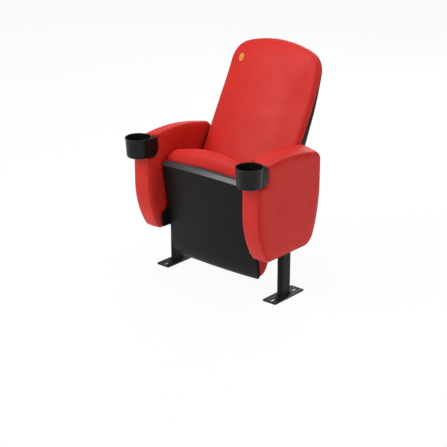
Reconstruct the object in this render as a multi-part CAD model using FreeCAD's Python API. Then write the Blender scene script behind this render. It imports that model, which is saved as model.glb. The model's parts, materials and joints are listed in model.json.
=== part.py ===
"""Tip-up auditorium seat with upholstered arms, cup holders and a high back. Millimetres, +Z up.

+X is the sitter's left and -Y is the front. Lengths along Y are measured from the centreline of the two
posts until the finished shapes are moved to the origin, which lies on the floor under the middle of the
overall depth. The seat is drawn tipped up, as it stands when nobody sits on it. What comes in pairs is
drawn on the sitter's left and mirrored. A pair of numbers beside a corner's name is how far the outline
is from that corner there, along Y and along Z.
"""
import FreeCAD, Part
import math
import os

# Overall
POST_SPACING = 580.0
POST_X = POST_SPACING / 2
TOUCH = 0.3
OVERCUT = 1.0

# Feet and posts
FOOT_WIDTH = 66.0
FOOT_LENGTH = 188.0
FOOT_THICKNESS = 6.0
FOOT_CORNER_RADIUS = 5.0
SLOT_WIDTH = 12.0
SLOT_LENGTH = 34.0
SLOT_SPACING = 138.0
POST_WIDTH = 28.0
POST_DEPTH = 66.0
POST_WALL = 2.5
POST_TOP = 350.0

# Arms
ARM_INBOARD = 3.0
ARM_X = POST_X - ARM_INBOARD
ARM_HALF_WIDTH = 47.0
ARM_BOTTOM = 197.0
ARM_FRONT = -213.0
ARM_REAR = 178.0
ARM_TOP_MIDDLE = 621.0
ARM_FALL_TO_FRONT = 10.0
ARM_FALL_TO_REAR = 21.0
ARM_TOP_FRONT = ARM_TOP_MIDDLE - ARM_FALL_TO_FRONT
ARM_TOP_REAR = ARM_TOP_MIDDLE - ARM_FALL_TO_REAR
ARM_TOP_SLOPE = 20.0
ARM_FRONT_ROUND = (12.0, 6.0)
ARM_FRONT_ROUND_END = 20.0
ARM_SWEEP_TOP = 216.0
ARM_SWEEP = (16.0, 100.0)
ARM_SWEEP_END = (56.0, 12.0)
ARM_TOE = (64.0, 3.0)
ARM_TOE_END = 76.0
ARM_HEEL_START = 98.0
ARM_HEEL = (62.0, 12.0)
ARM_HEEL_END = (38.0, 44.0)
ARM_NAPE = (9.0, 150.0)
ARM_NAPE_END = 262.0
ARM_REAR_ROUND = (10.0, 15.0)
ARM_REAR_ROUND_ENDS = (37.0, 46.0)
ARM_ROUNDING = 64.0
ARM_CORE_HALF_WIDTH = 25.0
ARM_PADDING = 24.0
INNER_FACE_X = ARM_X - ARM_HALF_WIDTH

# Cup holders
CUP_Y = -220.6
CUP_RIM_BELOW_ARM = 18.0
CUP_RIM_Z = ARM_TOP_MIDDLE - CUP_RIM_BELOW_ARM
CUP_HEIGHT = 81.0
CUP_RIM_RADIUS = 55.0
CUP_BASE_RADIUS = 48.0
CUP_WALL = 2.5
CUP_LIP = 3.0
CUP_LIP_REACH = 2.0
CUP_FOOT_CHAMFER = (4.0, 5.0)
CUP_FLOOR = 3.0
MOUNT_REAR = -158.0
MOUNT_HALF_WIDTH = 46.0
MOUNT_BELOW_RIM = 5.0
MOUNT_TOP = CUP_RIM_Z - MOUNT_BELOW_RIM
MOUNT_CORNER_BELOW_RIM = 41.0
MOUNT_CORNER_Z = CUP_RIM_Z - MOUNT_CORNER_BELOW_RIM
MOUNT_SWEEP_START = 18.0
MOUNT_SWEEP = (5.0, 12.0)
MOUNT_EDGE_RADIUS = 6.0

# Backrest: the spine runs up from its foot, straight at first and then along an arc towards upright
BACK_FOOT_Y = 23.8
BACK_FOOT_Z = 357.0
BACK_RAKE = 28.4
BACK_STRAIGHT = 390.0
BACK_ARC_RADIUS = 1350.0
BACK_LENGTH = 661.0
BACK_SIDE_GAP = 10.0
BACK_HALF_WIDTH = INNER_FACE_X - BACK_SIDE_GAP
BACK_FOOT_RADIUS = 40.0
BACK_TAPER_FROM = 412.0
BACK_TAPER_OVER = 150.0
BACK_TAPER = 15.0
BACK_CORNER_RADIUS = 92.0
BACK_TOP_ARCH = 38.0
ARCH_OVER_CORNER = 0.3
CORNER_UNDER_ARCH = 0.62
BACK_TOP_ZONE = 150.0
BACK_CROWN = 30.0
BACK_GUSSET = 25.0
BACK_SIDE_BULGE = 2.0
BACK_BOARD_THICKNESS = 12.0
BACK_BOARD_INSET = 32.0
BACK_BOARD_ABOVE_FOOT = 18.0
BACK_BOARD_BELOW_TOP = 80.0
BACK_SHELL_EDGE = 8.0
BACK_SHELL_FLARE = 26.0
BACK_FLARE_FROM = 552.0
BACK_FLARE_OVER = 300.0
BACK_SHELL_BULGE = 72.0
BACK_SHELL_WALL = 4.0
BACK_SHELL_FLOOR_DROP = 9.0

# Back brackets
BRACKET_THICKNESS = 5.0
BRACKET_FOOT_S = 88.0
BRACKET_HEAD_S = 208.0
BRACKET_RADIUS = 26.0
SPACER_RADIUS = 12.0

# Seat number plate
PLATE_FROM_EDGE = 72.0
PLATE_X = PLATE_FROM_EDGE - BACK_HALF_WIDTH
PLATE_BELOW_TOP = 99.0
PLATE_S = BACK_LENGTH - PLATE_BELOW_TOP
PLATE_HALF_WIDTH = 12.5
PLATE_HALF_HEIGHT = 17.5
PLATE_THICKNESS = 2.0

# Seat, drawn tipped up: s runs along the pan from its rear end to its front, t from underside to top
SEAT_LEAN = 9.0
SEAT_FOOT_Y = -86.0
SEAT_FOOT_Z = 71.0
SEAT_SIDE_GAP = 11.0
SEAT_HALF_WIDTH = INNER_FACE_X - SEAT_SIDE_GAP
SHELL_LENGTH = 437.0
SHELL_RIM_T = 20.0
SHELL_BELLY = 12.0
SHELL_WALL = 4.0
REAR_BEND = (100.0, 14.0, 15.0)
LIP_BEND = (40.0, 3.0, 13.0)
SEAT_BOARD_THICKNESS = 9.0
BOARD_END_GAP = 14.0
BOARD_FRONT_GAP = 25.0
BOARD_CORNER_RADIUS = 32.0
CUSHION_LENGTH = 494.0
CUSHION_TOP_T = 106.0
NOSE_ARCH = 26.0

# Pivot
PIVOT_S = 224.0
PIVOT_T = 50.0
SEAT_TRAVEL = 72.0
PIN_RADIUS = 6.0
PIN_PLAY = 0.05
BUSH_WALL = 4.0
BUSH_FLANGE = 1.5
BUSH_FLANGE_RADIUS = 14.0
HOUSING_THICKNESS = 8.0
HOUSING_BOSS_RADIUS = 17.0
HOUSING_HEAD_RADIUS = 42.0
HOUSING_FRONT_Y = -150.0
HOUSING_FLOOR_Z = 208.0
HOUSING_CORNER_RADIUS = 14.0
HOUSING_SHOULDER = (12.0, 20.0)
HOUSING_SHOULDER_END = 34.0
BORE_FLOOR = 4.0
PIN_END_GAP = 2.0
EAR_HOLE_CLEARANCE = 2.0
EAR_RADIUS = 38.0
EAR_NECK = 8.0
EAR_SPREAD = 0.5
EAR_THICKNESS = 5.0
EAR_ROOT = 8.0
EAR_ROOM = 2.0
EAR_ROOM_FOOT_T = -5.0
HINGE_PLATE_RADIUS = 33.0
HINGE_PLATE_THICKNESS = 5.0
HINGE_PLATE_FOOT_T = 6.0
STUD_ORBIT = 22.0
STUD_RADIUS = 4.0
STUD_PLAY = 0.6
BARREL_RADIUS = 20.0
BARREL_LENGTH = 30.0
CROSS_BAR_WIDTH = 44.0
CROSS_BAR_THICKNESS = 5.0


def vector(x, y, z):
    return FreeCAD.Vector(x, y, z)


X_AXIS = vector(1, 0, 0)
Y_AXIS = vector(0, 1, 0)
Z_AXIS = vector(0, 0, 1)


def outline(place, start, *steps):
    """A closed wire. A step is the end of a straight line, or (middle, end) of an arc."""
    edges = []
    here = start
    for step in steps:
        if isinstance(step[0], tuple):
            middle, end = step
            edges.append(Part.Arc(place(*here), place(*middle), place(*end)).toShape())
        else:
            end = step
            edges.append(Part.LineSegment(place(*here), place(*end)).toShape())
        here = end
    if here != start:
        edges.append(Part.LineSegment(place(*here), place(*start)).toShape())
    return Part.Wire(edges)


def prism(wire, direction):
    return Part.Face(wire).extrude(direction)


def solid(shape):
    """The single solid of a shape that came out of a boolean operation."""
    shape = shape.removeSplitter()
    return shape.Solids[0] if len(shape.Solids) == 1 else shape


def skin(sections):
    """A closed solid through sections of the same number of edges, straight from one to the next."""
    return Part.makeLoft(sections, True, True)


def cylinder_x(radius, x_from, x_to, y, z):
    return Part.makeCylinder(radius, x_to - x_from, vector(x_from, y, z), X_AXIS)


def on_circle(centre, radius, degrees):
    angle = math.radians(degrees)
    return (centre[0] + radius * math.cos(angle), centre[1] + radius * math.sin(angle))


def oval(place, centre, half_u, half_v):
    """A stadium outline, long along v: two straight sides and two half circles, each of two arcs."""
    cu, cv = centre
    straight = half_v - half_u
    slant = half_u * math.sqrt(0.5)
    return outline(
        place,
        (cu + half_u, cv - straight),
        (cu + half_u, cv + straight),
        ((cu + slant, cv + straight + slant), (cu, cv + half_v)),
        ((cu - slant, cv + straight + slant), (cu - half_u, cv + straight)),
        (cu - half_u, cv - straight),
        ((cu - slant, cv - straight - slant), (cu, cv - half_v)),
        ((cu + slant, cv - straight - slant), (cu + half_u, cv - straight)),
    )


# Feet and posts


def foot_plate():
    corner = vector(POST_X - FOOT_WIDTH / 2, -FOOT_LENGTH / 2, 0)
    plate = Part.makeBox(FOOT_WIDTH, FOOT_LENGTH, FOOT_THICKNESS, corner)
    uprights = [
        edge
        for edge in plate.Edges
        if abs(edge.tangentAt(edge.FirstParameter).z) > 0.99
    ]
    plate = plate.makeFillet(FOOT_CORNER_RADIUS, uprights)
    for end in (-1, 1):
        slot = oval(
            lambda u, v: vector(u, v, 0),
            (POST_X, end * SLOT_SPACING / 2),
            SLOT_WIDTH / 2,
            SLOT_LENGTH / 2,
        )
        plate = plate.cut(prism(slot, Z_AXIS * FOOT_THICKNESS))
    return solid(plate)


def post_section(grow, z):
    return oval(
        lambda u, v: vector(u, v, z),
        (POST_X, 0),
        POST_WIDTH / 2 + grow,
        POST_DEPTH / 2 + grow,
    )


def post():
    height = Z_AXIS * (POST_TOP - FOOT_THICKNESS)
    outer = prism(post_section(0, FOOT_THICKNESS), height)
    return solid(outer.cut(prism(post_section(-POST_WALL, FOOT_THICKNESS), height)))


def post_pocket():
    """The room that the post takes inside the arm, from below the arm up to the post's top."""
    return prism(post_section(TOUCH, ARM_BOTTOM - OVERCUT), Z_AXIS * (POST_TOP - ARM_BOTTOM + OVERCUT))


# Arms

ARM_MIDDLE_Y = (ARM_FRONT + ARM_REAR) / 2
ARM_MIDDLE_Z = (ARM_BOTTOM + ARM_TOP_MIDDLE) / 2


def arm_outline(x, inset):
    """The arm seen from its side, drawn in by the inset all round. Its top falls towards its outer face."""
    fall = ARM_TOP_SLOPE * (x - INNER_FACE_X) / (2 * ARM_HALF_WIDTH)
    squeeze_y = 1 - inset / ((ARM_REAR - ARM_FRONT) / 2)
    squeeze_z = 1 - inset / ((ARM_TOP_MIDDLE - ARM_BOTTOM) / 2)

    def place(y, z):
        return vector(
            x,
            ARM_MIDDLE_Y + (y - ARM_MIDDLE_Y) * squeeze_y,
            ARM_MIDDLE_Z + (z - ARM_MIDDLE_Z) * squeeze_z,
        )

    front_top = ARM_TOP_FRONT - fall
    rear_top = ARM_TOP_REAR - fall

    def front_low(offset):
        return (ARM_FRONT + offset[0], ARM_BOTTOM + offset[1])

    def rear_low(offset):
        return (ARM_REAR - offset[0], ARM_BOTTOM + offset[1])

    return outline(
        place,
        (ARM_FRONT, front_top - ARM_FRONT_ROUND_END),
        (ARM_FRONT, ARM_BOTTOM + ARM_SWEEP_TOP),
        (front_low(ARM_SWEEP), front_low(ARM_SWEEP_END)),
        (front_low(ARM_TOE), (ARM_FRONT + ARM_TOE_END, ARM_BOTTOM)),
        (ARM_REAR - ARM_HEEL_START, ARM_BOTTOM),
        (rear_low(ARM_HEEL), rear_low(ARM_HEEL_END)),
        (rear_low(ARM_NAPE), (ARM_REAR, ARM_BOTTOM + ARM_NAPE_END)),
        (ARM_REAR, rear_top - ARM_REAR_ROUND_ENDS[1]),
        (
            (ARM_REAR - ARM_REAR_ROUND[0], rear_top - ARM_REAR_ROUND[1]),
            (ARM_REAR - ARM_REAR_ROUND_ENDS[0], rear_top),
        ),
        ((ARM_MIDDLE_Y, ARM_TOP_MIDDLE - fall), (MOUNT_REAR, front_top)),
        (
            (ARM_FRONT + ARM_FRONT_ROUND[0], front_top - ARM_FRONT_ROUND[1]),
            (ARM_FRONT, front_top - ARM_FRONT_ROUND_END),
        ),
    )


# The arm's side faces: a share of its half width, and the share of the rounding drawn in there
ARM_PILLOW = ((1, 1), (0.97, 0.52), (0.91, 0.22), (0.8, 0.05), (0.5, 0))


def arm_form():
    """The upholstered arm before anything is cut: side faces pillowed, edges rounded."""
    left = []
    right = []
    for reach, share in ARM_PILLOW:
        inset = share * ARM_ROUNDING
        left.append(arm_outline(ARM_X - ARM_HALF_WIDTH * reach, inset))
        right.append(arm_outline(ARM_X + ARM_HALF_WIDTH * reach, inset))
    return skin(left + right[::-1])


def arm_core():
    inner = ARM_X - ARM_CORE_HALF_WIDTH
    outer = ARM_X + ARM_CORE_HALF_WIDTH
    core = skin([arm_outline(inner, ARM_PADDING), arm_outline(outer, ARM_PADDING)])
    return solid(core.cut(mount_notch(ARM_PADDING)).cut(post_pocket()))


def mount_outline(x, grow, front, top):
    """The cup mount from its side: level under the cup, sweeping up to its rear face."""
    rear = MOUNT_REAR + grow
    low = CUP_RIM_Z - CUP_HEIGHT - grow
    return outline(
        lambda y, z: vector(x, y, z),
        (front, low),
        (rear - MOUNT_SWEEP_START, low),
        ((rear - MOUNT_SWEEP[0], low + MOUNT_SWEEP[1]), (rear, MOUNT_CORNER_Z - grow)),
        (rear, top),
        (front, top),
    )


def mount_notch(depth):
    """What is cut from the arm's front corner for the cup mount, with so much more depth behind it."""
    beyond = ARM_PADDING
    wire = mount_outline(
        ARM_X - ARM_HALF_WIDTH - beyond, depth, ARM_FRONT - beyond, ARM_TOP_MIDDLE + beyond
    )
    return prism(wire, X_AXIS * 2 * (ARM_HALF_WIDTH + beyond))


def arm_upholstery():
    pad = arm_form().cut(mount_notch(0)).cut(arm_core()).cut(post_pocket())
    boss_hole = cylinder_x(
        HOUSING_BOSS_RADIUS + TOUCH,
        INNER_FACE_X - OVERCUT,
        ARM_X - ARM_CORE_HALF_WIDTH,
        PIVOT_Y,
        PIVOT_Z,
    )
    return solid(pad.cut(boss_hole))


# Cup holders


def cup_profile(radius_change, z_from, z_to):
    """The side of the cup's cone between two heights, moved in or out."""

    def radius(z):
        share = (z - (CUP_RIM_Z - CUP_HEIGHT)) / CUP_HEIGHT
        rim = CUP_RIM_RADIUS - CUP_LIP_REACH
        return CUP_BASE_RADIUS + share * (rim - CUP_BASE_RADIUS) + radius_change

    return (radius(z_from), z_from), (radius(z_to), z_to)


def cup_holder():
    base_z = CUP_RIM_Z - CUP_HEIGHT
    in_by, up_by = CUP_FOOT_CHAMFER
    outer_low, outer_high = cup_profile(0, base_z + up_by, CUP_RIM_Z - CUP_LIP)
    inner_low, inner_high = cup_profile(-CUP_WALL, base_z + CUP_FLOOR, CUP_RIM_Z)
    profile = outline(
        lambda r, z: vector(POST_X + r, CUP_Y, z),
        (0, base_z),
        (outer_low[0] - in_by, base_z),
        outer_low,
        outer_high,
        (CUP_RIM_RADIUS, CUP_RIM_Z - CUP_LIP),
        (CUP_RIM_RADIUS, CUP_RIM_Z),
        inner_high,
        inner_low,
        (0, base_z + CUP_FLOOR),
    )
    return solid(Part.Face(profile).revolve(vector(POST_X, CUP_Y, 0), Z_AXIS, 360))


def cup_mount():
    """The block behind the cup: it fills the arm's notch and holds the rear half of the cup."""
    wire = mount_outline(ARM_X - MOUNT_HALF_WIDTH, -TOUCH, CUP_Y, MOUNT_TOP)
    block = prism(wire, X_AXIS * (2 * MOUNT_HALF_WIDTH))
    rear_edges = [
        edge
        for edge in block.Edges
        if edge.BoundBox.YMin > MOUNT_REAR - OVERCUT and edge.BoundBox.ZMax > MOUNT_TOP - OVERCUT
    ]
    block = block.makeFillet(MOUNT_EDGE_RADIUS, rear_edges)
    beyond = CUP_FLOOR
    low, high = cup_profile(TOUCH, CUP_RIM_Z - CUP_HEIGHT - beyond, CUP_RIM_Z + beyond)
    room = Part.makeCone(low[0], high[0], high[1] - low[1], vector(POST_X, CUP_Y, low[1]), Z_AXIS)
    return solid(block.cut(room))


# Backrest


def rake_at(s):
    return math.radians(BACK_RAKE) - max(0.0, s - BACK_STRAIGHT) / BACK_ARC_RADIUS


def back_point(x, s, n):
    """A point s along the spine and n in front of the cushion's seam plane."""
    start = math.radians(BACK_RAKE)
    rake = rake_at(s)
    straight = min(s, BACK_STRAIGHT)
    y = BACK_FOOT_Y + straight * math.sin(start)
    z = BACK_FOOT_Z + straight * math.cos(start)
    y += BACK_ARC_RADIUS * (math.cos(rake) - math.cos(start))
    z += BACK_ARC_RADIUS * (math.sin(start) - math.sin(rake))
    return vector(x, y - n * math.cos(rake), z + n * math.sin(rake))


def back_half_width(s):
    """Half the backrest's width: rounded foot, slight taper, round shoulders and an arched top."""
    width = BACK_HALF_WIDTH - BACK_TAPER * max(0.0, s - BACK_TAPER_FROM) / BACK_TAPER_OVER
    if s < BACK_FOOT_RADIUS:
        drop = BACK_FOOT_RADIUS - s
        return width - BACK_FOOT_RADIUS + math.sqrt(BACK_FOOT_RADIUS**2 - drop**2)
    shoulder_width = BACK_HALF_WIDTH - BACK_TAPER
    arch_chord = shoulder_width - ARCH_OVER_CORNER * BACK_CORNER_RADIUS
    arch_radius = (arch_chord**2 + BACK_TOP_ARCH**2) / (2 * BACK_TOP_ARCH)
    below_top = BACK_LENGTH - s
    on_arch = math.sqrt(max(0.0, arch_radius**2 - (arch_radius - below_top) ** 2))
    shoulder_s = BACK_LENGTH - CORNER_UNDER_ARCH * BACK_TOP_ARCH - BACK_CORNER_RADIUS
    if s > shoulder_s:
        rise = min(s - shoulder_s, BACK_CORNER_RADIUS)
        on_shoulder = shoulder_width - BACK_CORNER_RADIUS + math.sqrt(BACK_CORNER_RADIUS**2 - rise**2)
        return min(width, on_shoulder, on_arch)
    return width


def back_crown(s):
    """How far the front panel stands out at the middle: full over most of its length, none at its ends."""
    middle = BACK_LENGTH / 2
    return BACK_CROWN * (1 - abs((s - middle) / middle) ** 5)


FOOT_STATIONS = [BACK_FOOT_RADIUS * share for share in (0.02, 0.2, 0.5, 1)]
TOP_SHARES = (1, 0.84, 0.7, 0.58, 0.47, 0.38, 0.3, 0.23, 0.17, 0.12, 0.07, 0.035, 0.01)
TOP_STATIONS = [BACK_LENGTH - BACK_TOP_ZONE * share for share in TOP_SHARES]
MIDDLE_COUNT = 7


def middle_stations():
    """Even steps between the rounded foot and the first of the stations round the shoulders."""
    step = (TOP_STATIONS[0] - FOOT_STATIONS[-1]) / MIDDLE_COUNT
    return [FOOT_STATIONS[-1] + step * count for count in range(1, MIDDLE_COUNT)]


BACK_STATIONS = FOOT_STATIONS + middle_stations() + TOP_STATIONS


def back_cushion():
    sections = []
    for s in BACK_STATIONS:
        half = back_half_width(s)
        crown = back_crown(s)
        bulge = BACK_SIDE_BULGE
        sections.append(
            outline(
                lambda x, n: back_point(x, s, n),
                (-half + bulge, -BACK_GUSSET),
                ((-half, -BACK_GUSSET / 2), (-half + bulge, 0)),
                ((0, crown), (half - bulge, 0)),
                ((half, -BACK_GUSSET / 2), (half - bulge, -BACK_GUSSET)),
            )
        )
    return skin(sections)


def back_board():
    sections = []
    for s in BACK_STATIONS:
        if not BACK_BOARD_ABOVE_FOOT <= s <= BACK_LENGTH - BACK_BOARD_BELOW_TOP:
            continue
        half = back_half_width(s) - BACK_BOARD_INSET
        sections.append(
            outline(
                lambda x, n: back_point(x, s, n),
                (-half, -BACK_GUSSET - TOUCH),
                (half, -BACK_GUSSET - TOUCH),
                (half, -BACK_GUSSET - BACK_BOARD_THICKNESS),
                (-half, -BACK_GUSSET - BACK_BOARD_THICKNESS),
            )
        )
    return skin(sections)


def shell_edge(s):
    """Depth of the rear shell's side: slim at the shoulders, flaring out between the arms."""
    share = (BACK_FLARE_FROM - s) / BACK_FLARE_OVER
    return BACK_SHELL_EDGE + BACK_SHELL_FLARE * min(1.0, max(0.0, share))


def shell_bulge(s):
    """How far the rear shell stands out behind its edge, at the middle of its width."""
    middle = BACK_LENGTH / 2
    full = BACK_SHELL_BULGE - (shell_edge(s) - BACK_SHELL_EDGE)
    return full * (1 - abs((s - middle) / middle) ** 4)


def back_shell_form(wall, front):
    """The rear shell's outer form, or with a wall the room inside it."""
    sections = []
    last = len(BACK_STATIONS) - 1
    for index, s in enumerate(BACK_STATIONS):
        if wall and index == last:
            continue
        inside = s + wall if index == 0 else s
        half = back_half_width(s) - wall
        rear = -BACK_GUSSET - shell_edge(s) + wall
        sections.append(
            outline(
                lambda x, n: back_point(x, inside, n),
                (-half, front),
                (half, front),
                (half, rear),
                ((0, rear - shell_bulge(s)), (-half, rear)),
            )
        )
    return skin(sections)


def below_back(z):
    """All the room under a height, to cut the rear shell level at its foot."""
    size = 4 * BACK_HALF_WIDTH
    return Part.makeBox(size, size, size, vector(-size / 2, -size / 2, z - size))


def back_shell():
    """The moulded shell, closed by a level floor so that the lowered seat passes under it."""
    floor_z = BACK_FOOT_Z - BACK_SHELL_FLOOR_DROP
    shell = back_shell_form(0, -BACK_GUSSET - TOUCH).cut(below_back(floor_z))
    room = back_shell_form(BACK_SHELL_WALL, -BACK_GUSSET + OVERCUT)
    return solid(shell.cut(room.cut(below_back(floor_z + BACK_SHELL_WALL))))


def panel_point(x, s):
    """A point of the crowned front panel."""
    half = back_half_width(s) - BACK_SIDE_BULGE
    crown = back_crown(s)
    radius = (half**2 + crown**2) / (2 * crown)
    return back_point(x, s, math.sqrt(radius**2 - x**2) - (radius - crown))


def seat_number_plate():
    """A small oval plate on the upper corner of the front panel, level with the panel there."""
    right = panel_point(PLATE_X + PLATE_HALF_WIDTH, PLATE_S)
    left = panel_point(PLATE_X - PLATE_HALF_WIDTH, PLATE_S)
    top = panel_point(PLATE_X, PLATE_S + PLATE_HALF_HEIGHT)
    bottom = panel_point(PLATE_X, PLATE_S - PLATE_HALF_HEIGHT)
    up = (top - bottom).normalize()
    out = (right - left).cross(up).normalize()
    side = up.cross(out)
    centre = panel_point(PLATE_X, PLATE_S) + out * 2 * TOUCH
    wire = oval(lambda u, v: centre + side * u + up * v, (0, 0), PLATE_HALF_WIDTH, PLATE_HALF_HEIGHT)
    return solid(prism(wire, out * PLATE_THICKNESS))


def back_bracket():
    """The plate on the arm's inner face that carries the backrest, with its two spacers."""
    depth = -(BACK_GUSSET + BACK_SHELL_FLARE / 2)
    low = back_point(0, BRACKET_FOOT_S, depth)
    high = back_point(0, BRACKET_HEAD_S, depth)
    plate_x = INNER_FACE_X - TOUCH - BRACKET_THICKNESS
    along = (high - low).normalize()
    across = vector(0, along.z, -along.y)
    middle = (low + high) * 0.5
    half_length = (high - low).Length / 2 + BRACKET_RADIUS
    wire = oval(
        lambda u, v: vector(plate_x, middle.y, middle.z) + across * u + along * v,
        (0, 0),
        BRACKET_RADIUS,
        half_length,
    )
    bracket = prism(wire, X_AXIS * BRACKET_THICKNESS)
    for end in (low, high):
        bracket = bracket.fuse(
            cylinder_x(SPACER_RADIUS, BACK_HALF_WIDTH + TOUCH, plate_x, end.y, end.z)
        )
    return solid(bracket)


# Seat

LEAN = math.radians(SEAT_LEAN)


def seat_point(x, s, t):
    return vector(
        x,
        SEAT_FOOT_Y - s * math.sin(LEAN) + t * math.cos(LEAN),
        SEAT_FOOT_Z + s * math.cos(LEAN) + t * math.sin(LEAN),
    )


PIVOT = seat_point(0, PIVOT_S, PIVOT_T)
PIVOT_Y = PIVOT.y
PIVOT_Z = PIVOT.z


def tray_section(s, half, edge_t, middle_t, rim_t):
    return outline(
        lambda x, t: seat_point(x, s, t),
        (-half, rim_t),
        (-half, edge_t),
        ((0, middle_t), (half, edge_t)),
        (half, rim_t),
    )


# The tray's ends, in shares of their bends: distance from the end, how far the sides are drawn in and
# rise of the underside, and last the share of the belly
TRAY_REAR = ((0, 1, 1, 0.6), (0.14, 0.3, 0.53, 0.9), (0.44, 0, 0.13, 1), (1, 0, 0, 1))
TRAY_FRONT = ((1, 0, 0, 1), (0.4, 0, 0.15, 1), (0.1, 0.3, 0.54, 1), (0, 1, 1, 1))


def tray_form(wall, rim_t):
    """The moulded tray: turned up at its rear end, bellied over its width, with a turned front lip."""
    stations = []
    for along, across, up, share in TRAY_REAR:
        stations.append((along * REAR_BEND[0], across * REAR_BEND[1], up * REAR_BEND[2], share))
    for along, across, up, share in TRAY_FRONT:
        s = SHELL_LENGTH - along * LIP_BEND[0]
        stations.append((s, across * LIP_BEND[1], up * LIP_BEND[2], share))
    sections = []
    for s, draw_in, rise, share in stations:
        inside = min(max(s, wall), SHELL_LENGTH - wall)
        half = SEAT_HALF_WIDTH - draw_in - wall
        edge_t = rise + wall
        sections.append(tray_section(inside, half, edge_t, edge_t - share * SHELL_BELLY, rim_t))
    return skin(sections)


def ear(radius, x_from, x_to, foot_t):
    """A tongue that rises from the tray's side and ends round about the pivot."""
    neck_t = PIVOT_T - EAR_NECK
    foot_reach = radius + EAR_SPREAD * (neck_t - foot_t)
    wire = outline(
        lambda s, t: seat_point(x_from, s, t),
        (PIVOT_S - foot_reach, foot_t),
        (PIVOT_S - radius, neck_t),
        ((PIVOT_S, PIVOT_T + radius), (PIVOT_S + radius, neck_t)),
        (PIVOT_S + foot_reach, foot_t),
    )
    return prism(wire, X_AXIS * (x_to - x_from))


EAR_X = SEAT_HALF_WIDTH - EAR_THICKNESS
HINGE_PLATE_X = EAR_X - TOUCH - HINGE_PLATE_THICKNESS
STUD_ANGLE = SEAT_LEAN + SEAT_TRAVEL / 2
STUD = on_circle((PIVOT_Y, PIVOT_Z), STUD_ORBIT, STUD_ANGLE)
BOSS_END_X = ARM_X - ARM_CORE_HALF_WIDTH - TOUCH
BUSH_END_X = BOSS_END_X - BORE_FLOOR


def stud_slot(x_from, x_to):
    """The arc slot round the pivot in which the stop stud runs over the seat's travel."""
    centre = (PIVOT_Y, PIVOT_Z)
    half_width = STUD_RADIUS + STUD_PLAY
    slack = math.degrees(STUD_PLAY / STUD_ORBIT)
    first = STUD_ANGLE + slack
    last = STUD_ANGLE - SEAT_TRAVEL - slack
    middle = (first + last) / 2
    inner = STUD_ORBIT - half_width
    outer = STUD_ORBIT + half_width

    def cap(degrees, way):
        end = on_circle(centre, STUD_ORBIT, degrees)
        return on_circle(end, half_width, degrees + 90 * way)

    wire = outline(
        lambda y, z: vector(x_from, y, z),
        on_circle(centre, outer, last),
        (on_circle(centre, outer, middle), on_circle(centre, outer, first)),
        (cap(first, 1), on_circle(centre, inner, first)),
        (on_circle(centre, inner, middle), on_circle(centre, inner, last)),
        (cap(last, -1), on_circle(centre, outer, last)),
    )
    return prism(wire, X_AXIS * (x_to - x_from))


def seat_shell():
    shell = tray_form(0, SHELL_RIM_T)
    shell = shell.cut(tray_form(SHELL_WALL, SHELL_RIM_T + OVERCUT))
    for side in (-1, 1):
        x_from = EAR_X if side > 0 else -SEAT_HALF_WIDTH
        x_to = x_from + EAR_THICKNESS
        cut_from = x_from - OVERCUT
        cut_to = x_to + OVERCUT
        lobe = ear(EAR_RADIUS, x_from, x_to, SHELL_RIM_T - EAR_ROOT)
        lobe = lobe.cut(
            cylinder_x(PIN_RADIUS + EAR_HOLE_CLEARANCE, cut_from, cut_to, PIVOT_Y, PIVOT_Z)
        )
        lobe = lobe.cut(stud_slot(cut_from, cut_to))
        shell = shell.fuse(lobe)
    return solid(shell)


def seat_board():
    """The plywood that lies in the tray, flush with its rim, and carries the cushion."""
    half = SEAT_HALF_WIDTH - SHELL_WALL - TOUCH
    low = SHELL_RIM_T - SEAT_BOARD_THICKNESS
    rear = BOARD_END_GAP
    front = SHELL_LENGTH - BOARD_FRONT_GAP
    corner = BOARD_CORNER_RADIUS
    bend = corner * (1 - math.sqrt(0.5))
    wire = outline(
        lambda x, s: seat_point(x, s, low),
        (-half + corner, rear),
        (half - corner, rear),
        ((half - bend, rear + bend), (half, rear + corner)),
        (half, front),
        (-half, front),
        (-half, rear + corner),
        ((-half + bend, rear + bend), (-half + corner, rear)),
    )
    thickness = seat_point(0, 0, SEAT_BOARD_THICKNESS - TOUCH) - seat_point(0, 0, 0)
    board = prism(wire, thickness)
    for side in (-1, 1):
        board = board.cut(hinge_room(side))
    return solid(board)


def hinge_room(side):
    """What the hinge plate, the ear and the spring barrel need clear of board and cushion."""
    reach = EAR_RADIUS + EAR_ROOM
    x_inner = HINGE_PLATE_X - TOUCH
    room = ear(reach, x_inner, SEAT_HALF_WIDTH + OVERCUT, EAR_ROOM_FOOT_T)
    barrel = cylinder_x(
        BARREL_RADIUS + TOUCH,
        x_inner - BARREL_LENGTH - TOUCH,
        x_inner + OVERCUT,
        PIVOT_Y,
        PIVOT_Z,
    )
    room = room.fuse(barrel)
    return room if side > 0 else room.mirror(vector(0, 0, 0), X_AXIS)


def cushion_section(t, rear, front, half, rear_radius, front_radius, arch):
    """The cushion cut level: straight sides, round corners, and a front that arches forward."""
    bend = 1 - math.sqrt(0.5)
    front_corner = front - arch
    return outline(
        lambda x, s: seat_point(x, s, t),
        (-half + rear_radius, rear),
        (half - rear_radius, rear),
        ((half - bend * rear_radius, rear + bend * rear_radius), (half, rear + rear_radius)),
        (half, front_corner - front_radius),
        (
            (half - bend * front_radius, front_corner - bend * front_radius),
            (half - front_radius, front_corner),
        ),
        ((0, front), (-half + front_radius, front_corner)),
        (
            (-half + bend * front_radius, front_corner - bend * front_radius),
            (-half, front_corner - front_radius),
        ),
        (-half, rear + rear_radius),
        ((-half + bend * rear_radius, rear + bend * rear_radius), (-half + rear_radius, rear)),
    )


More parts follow.
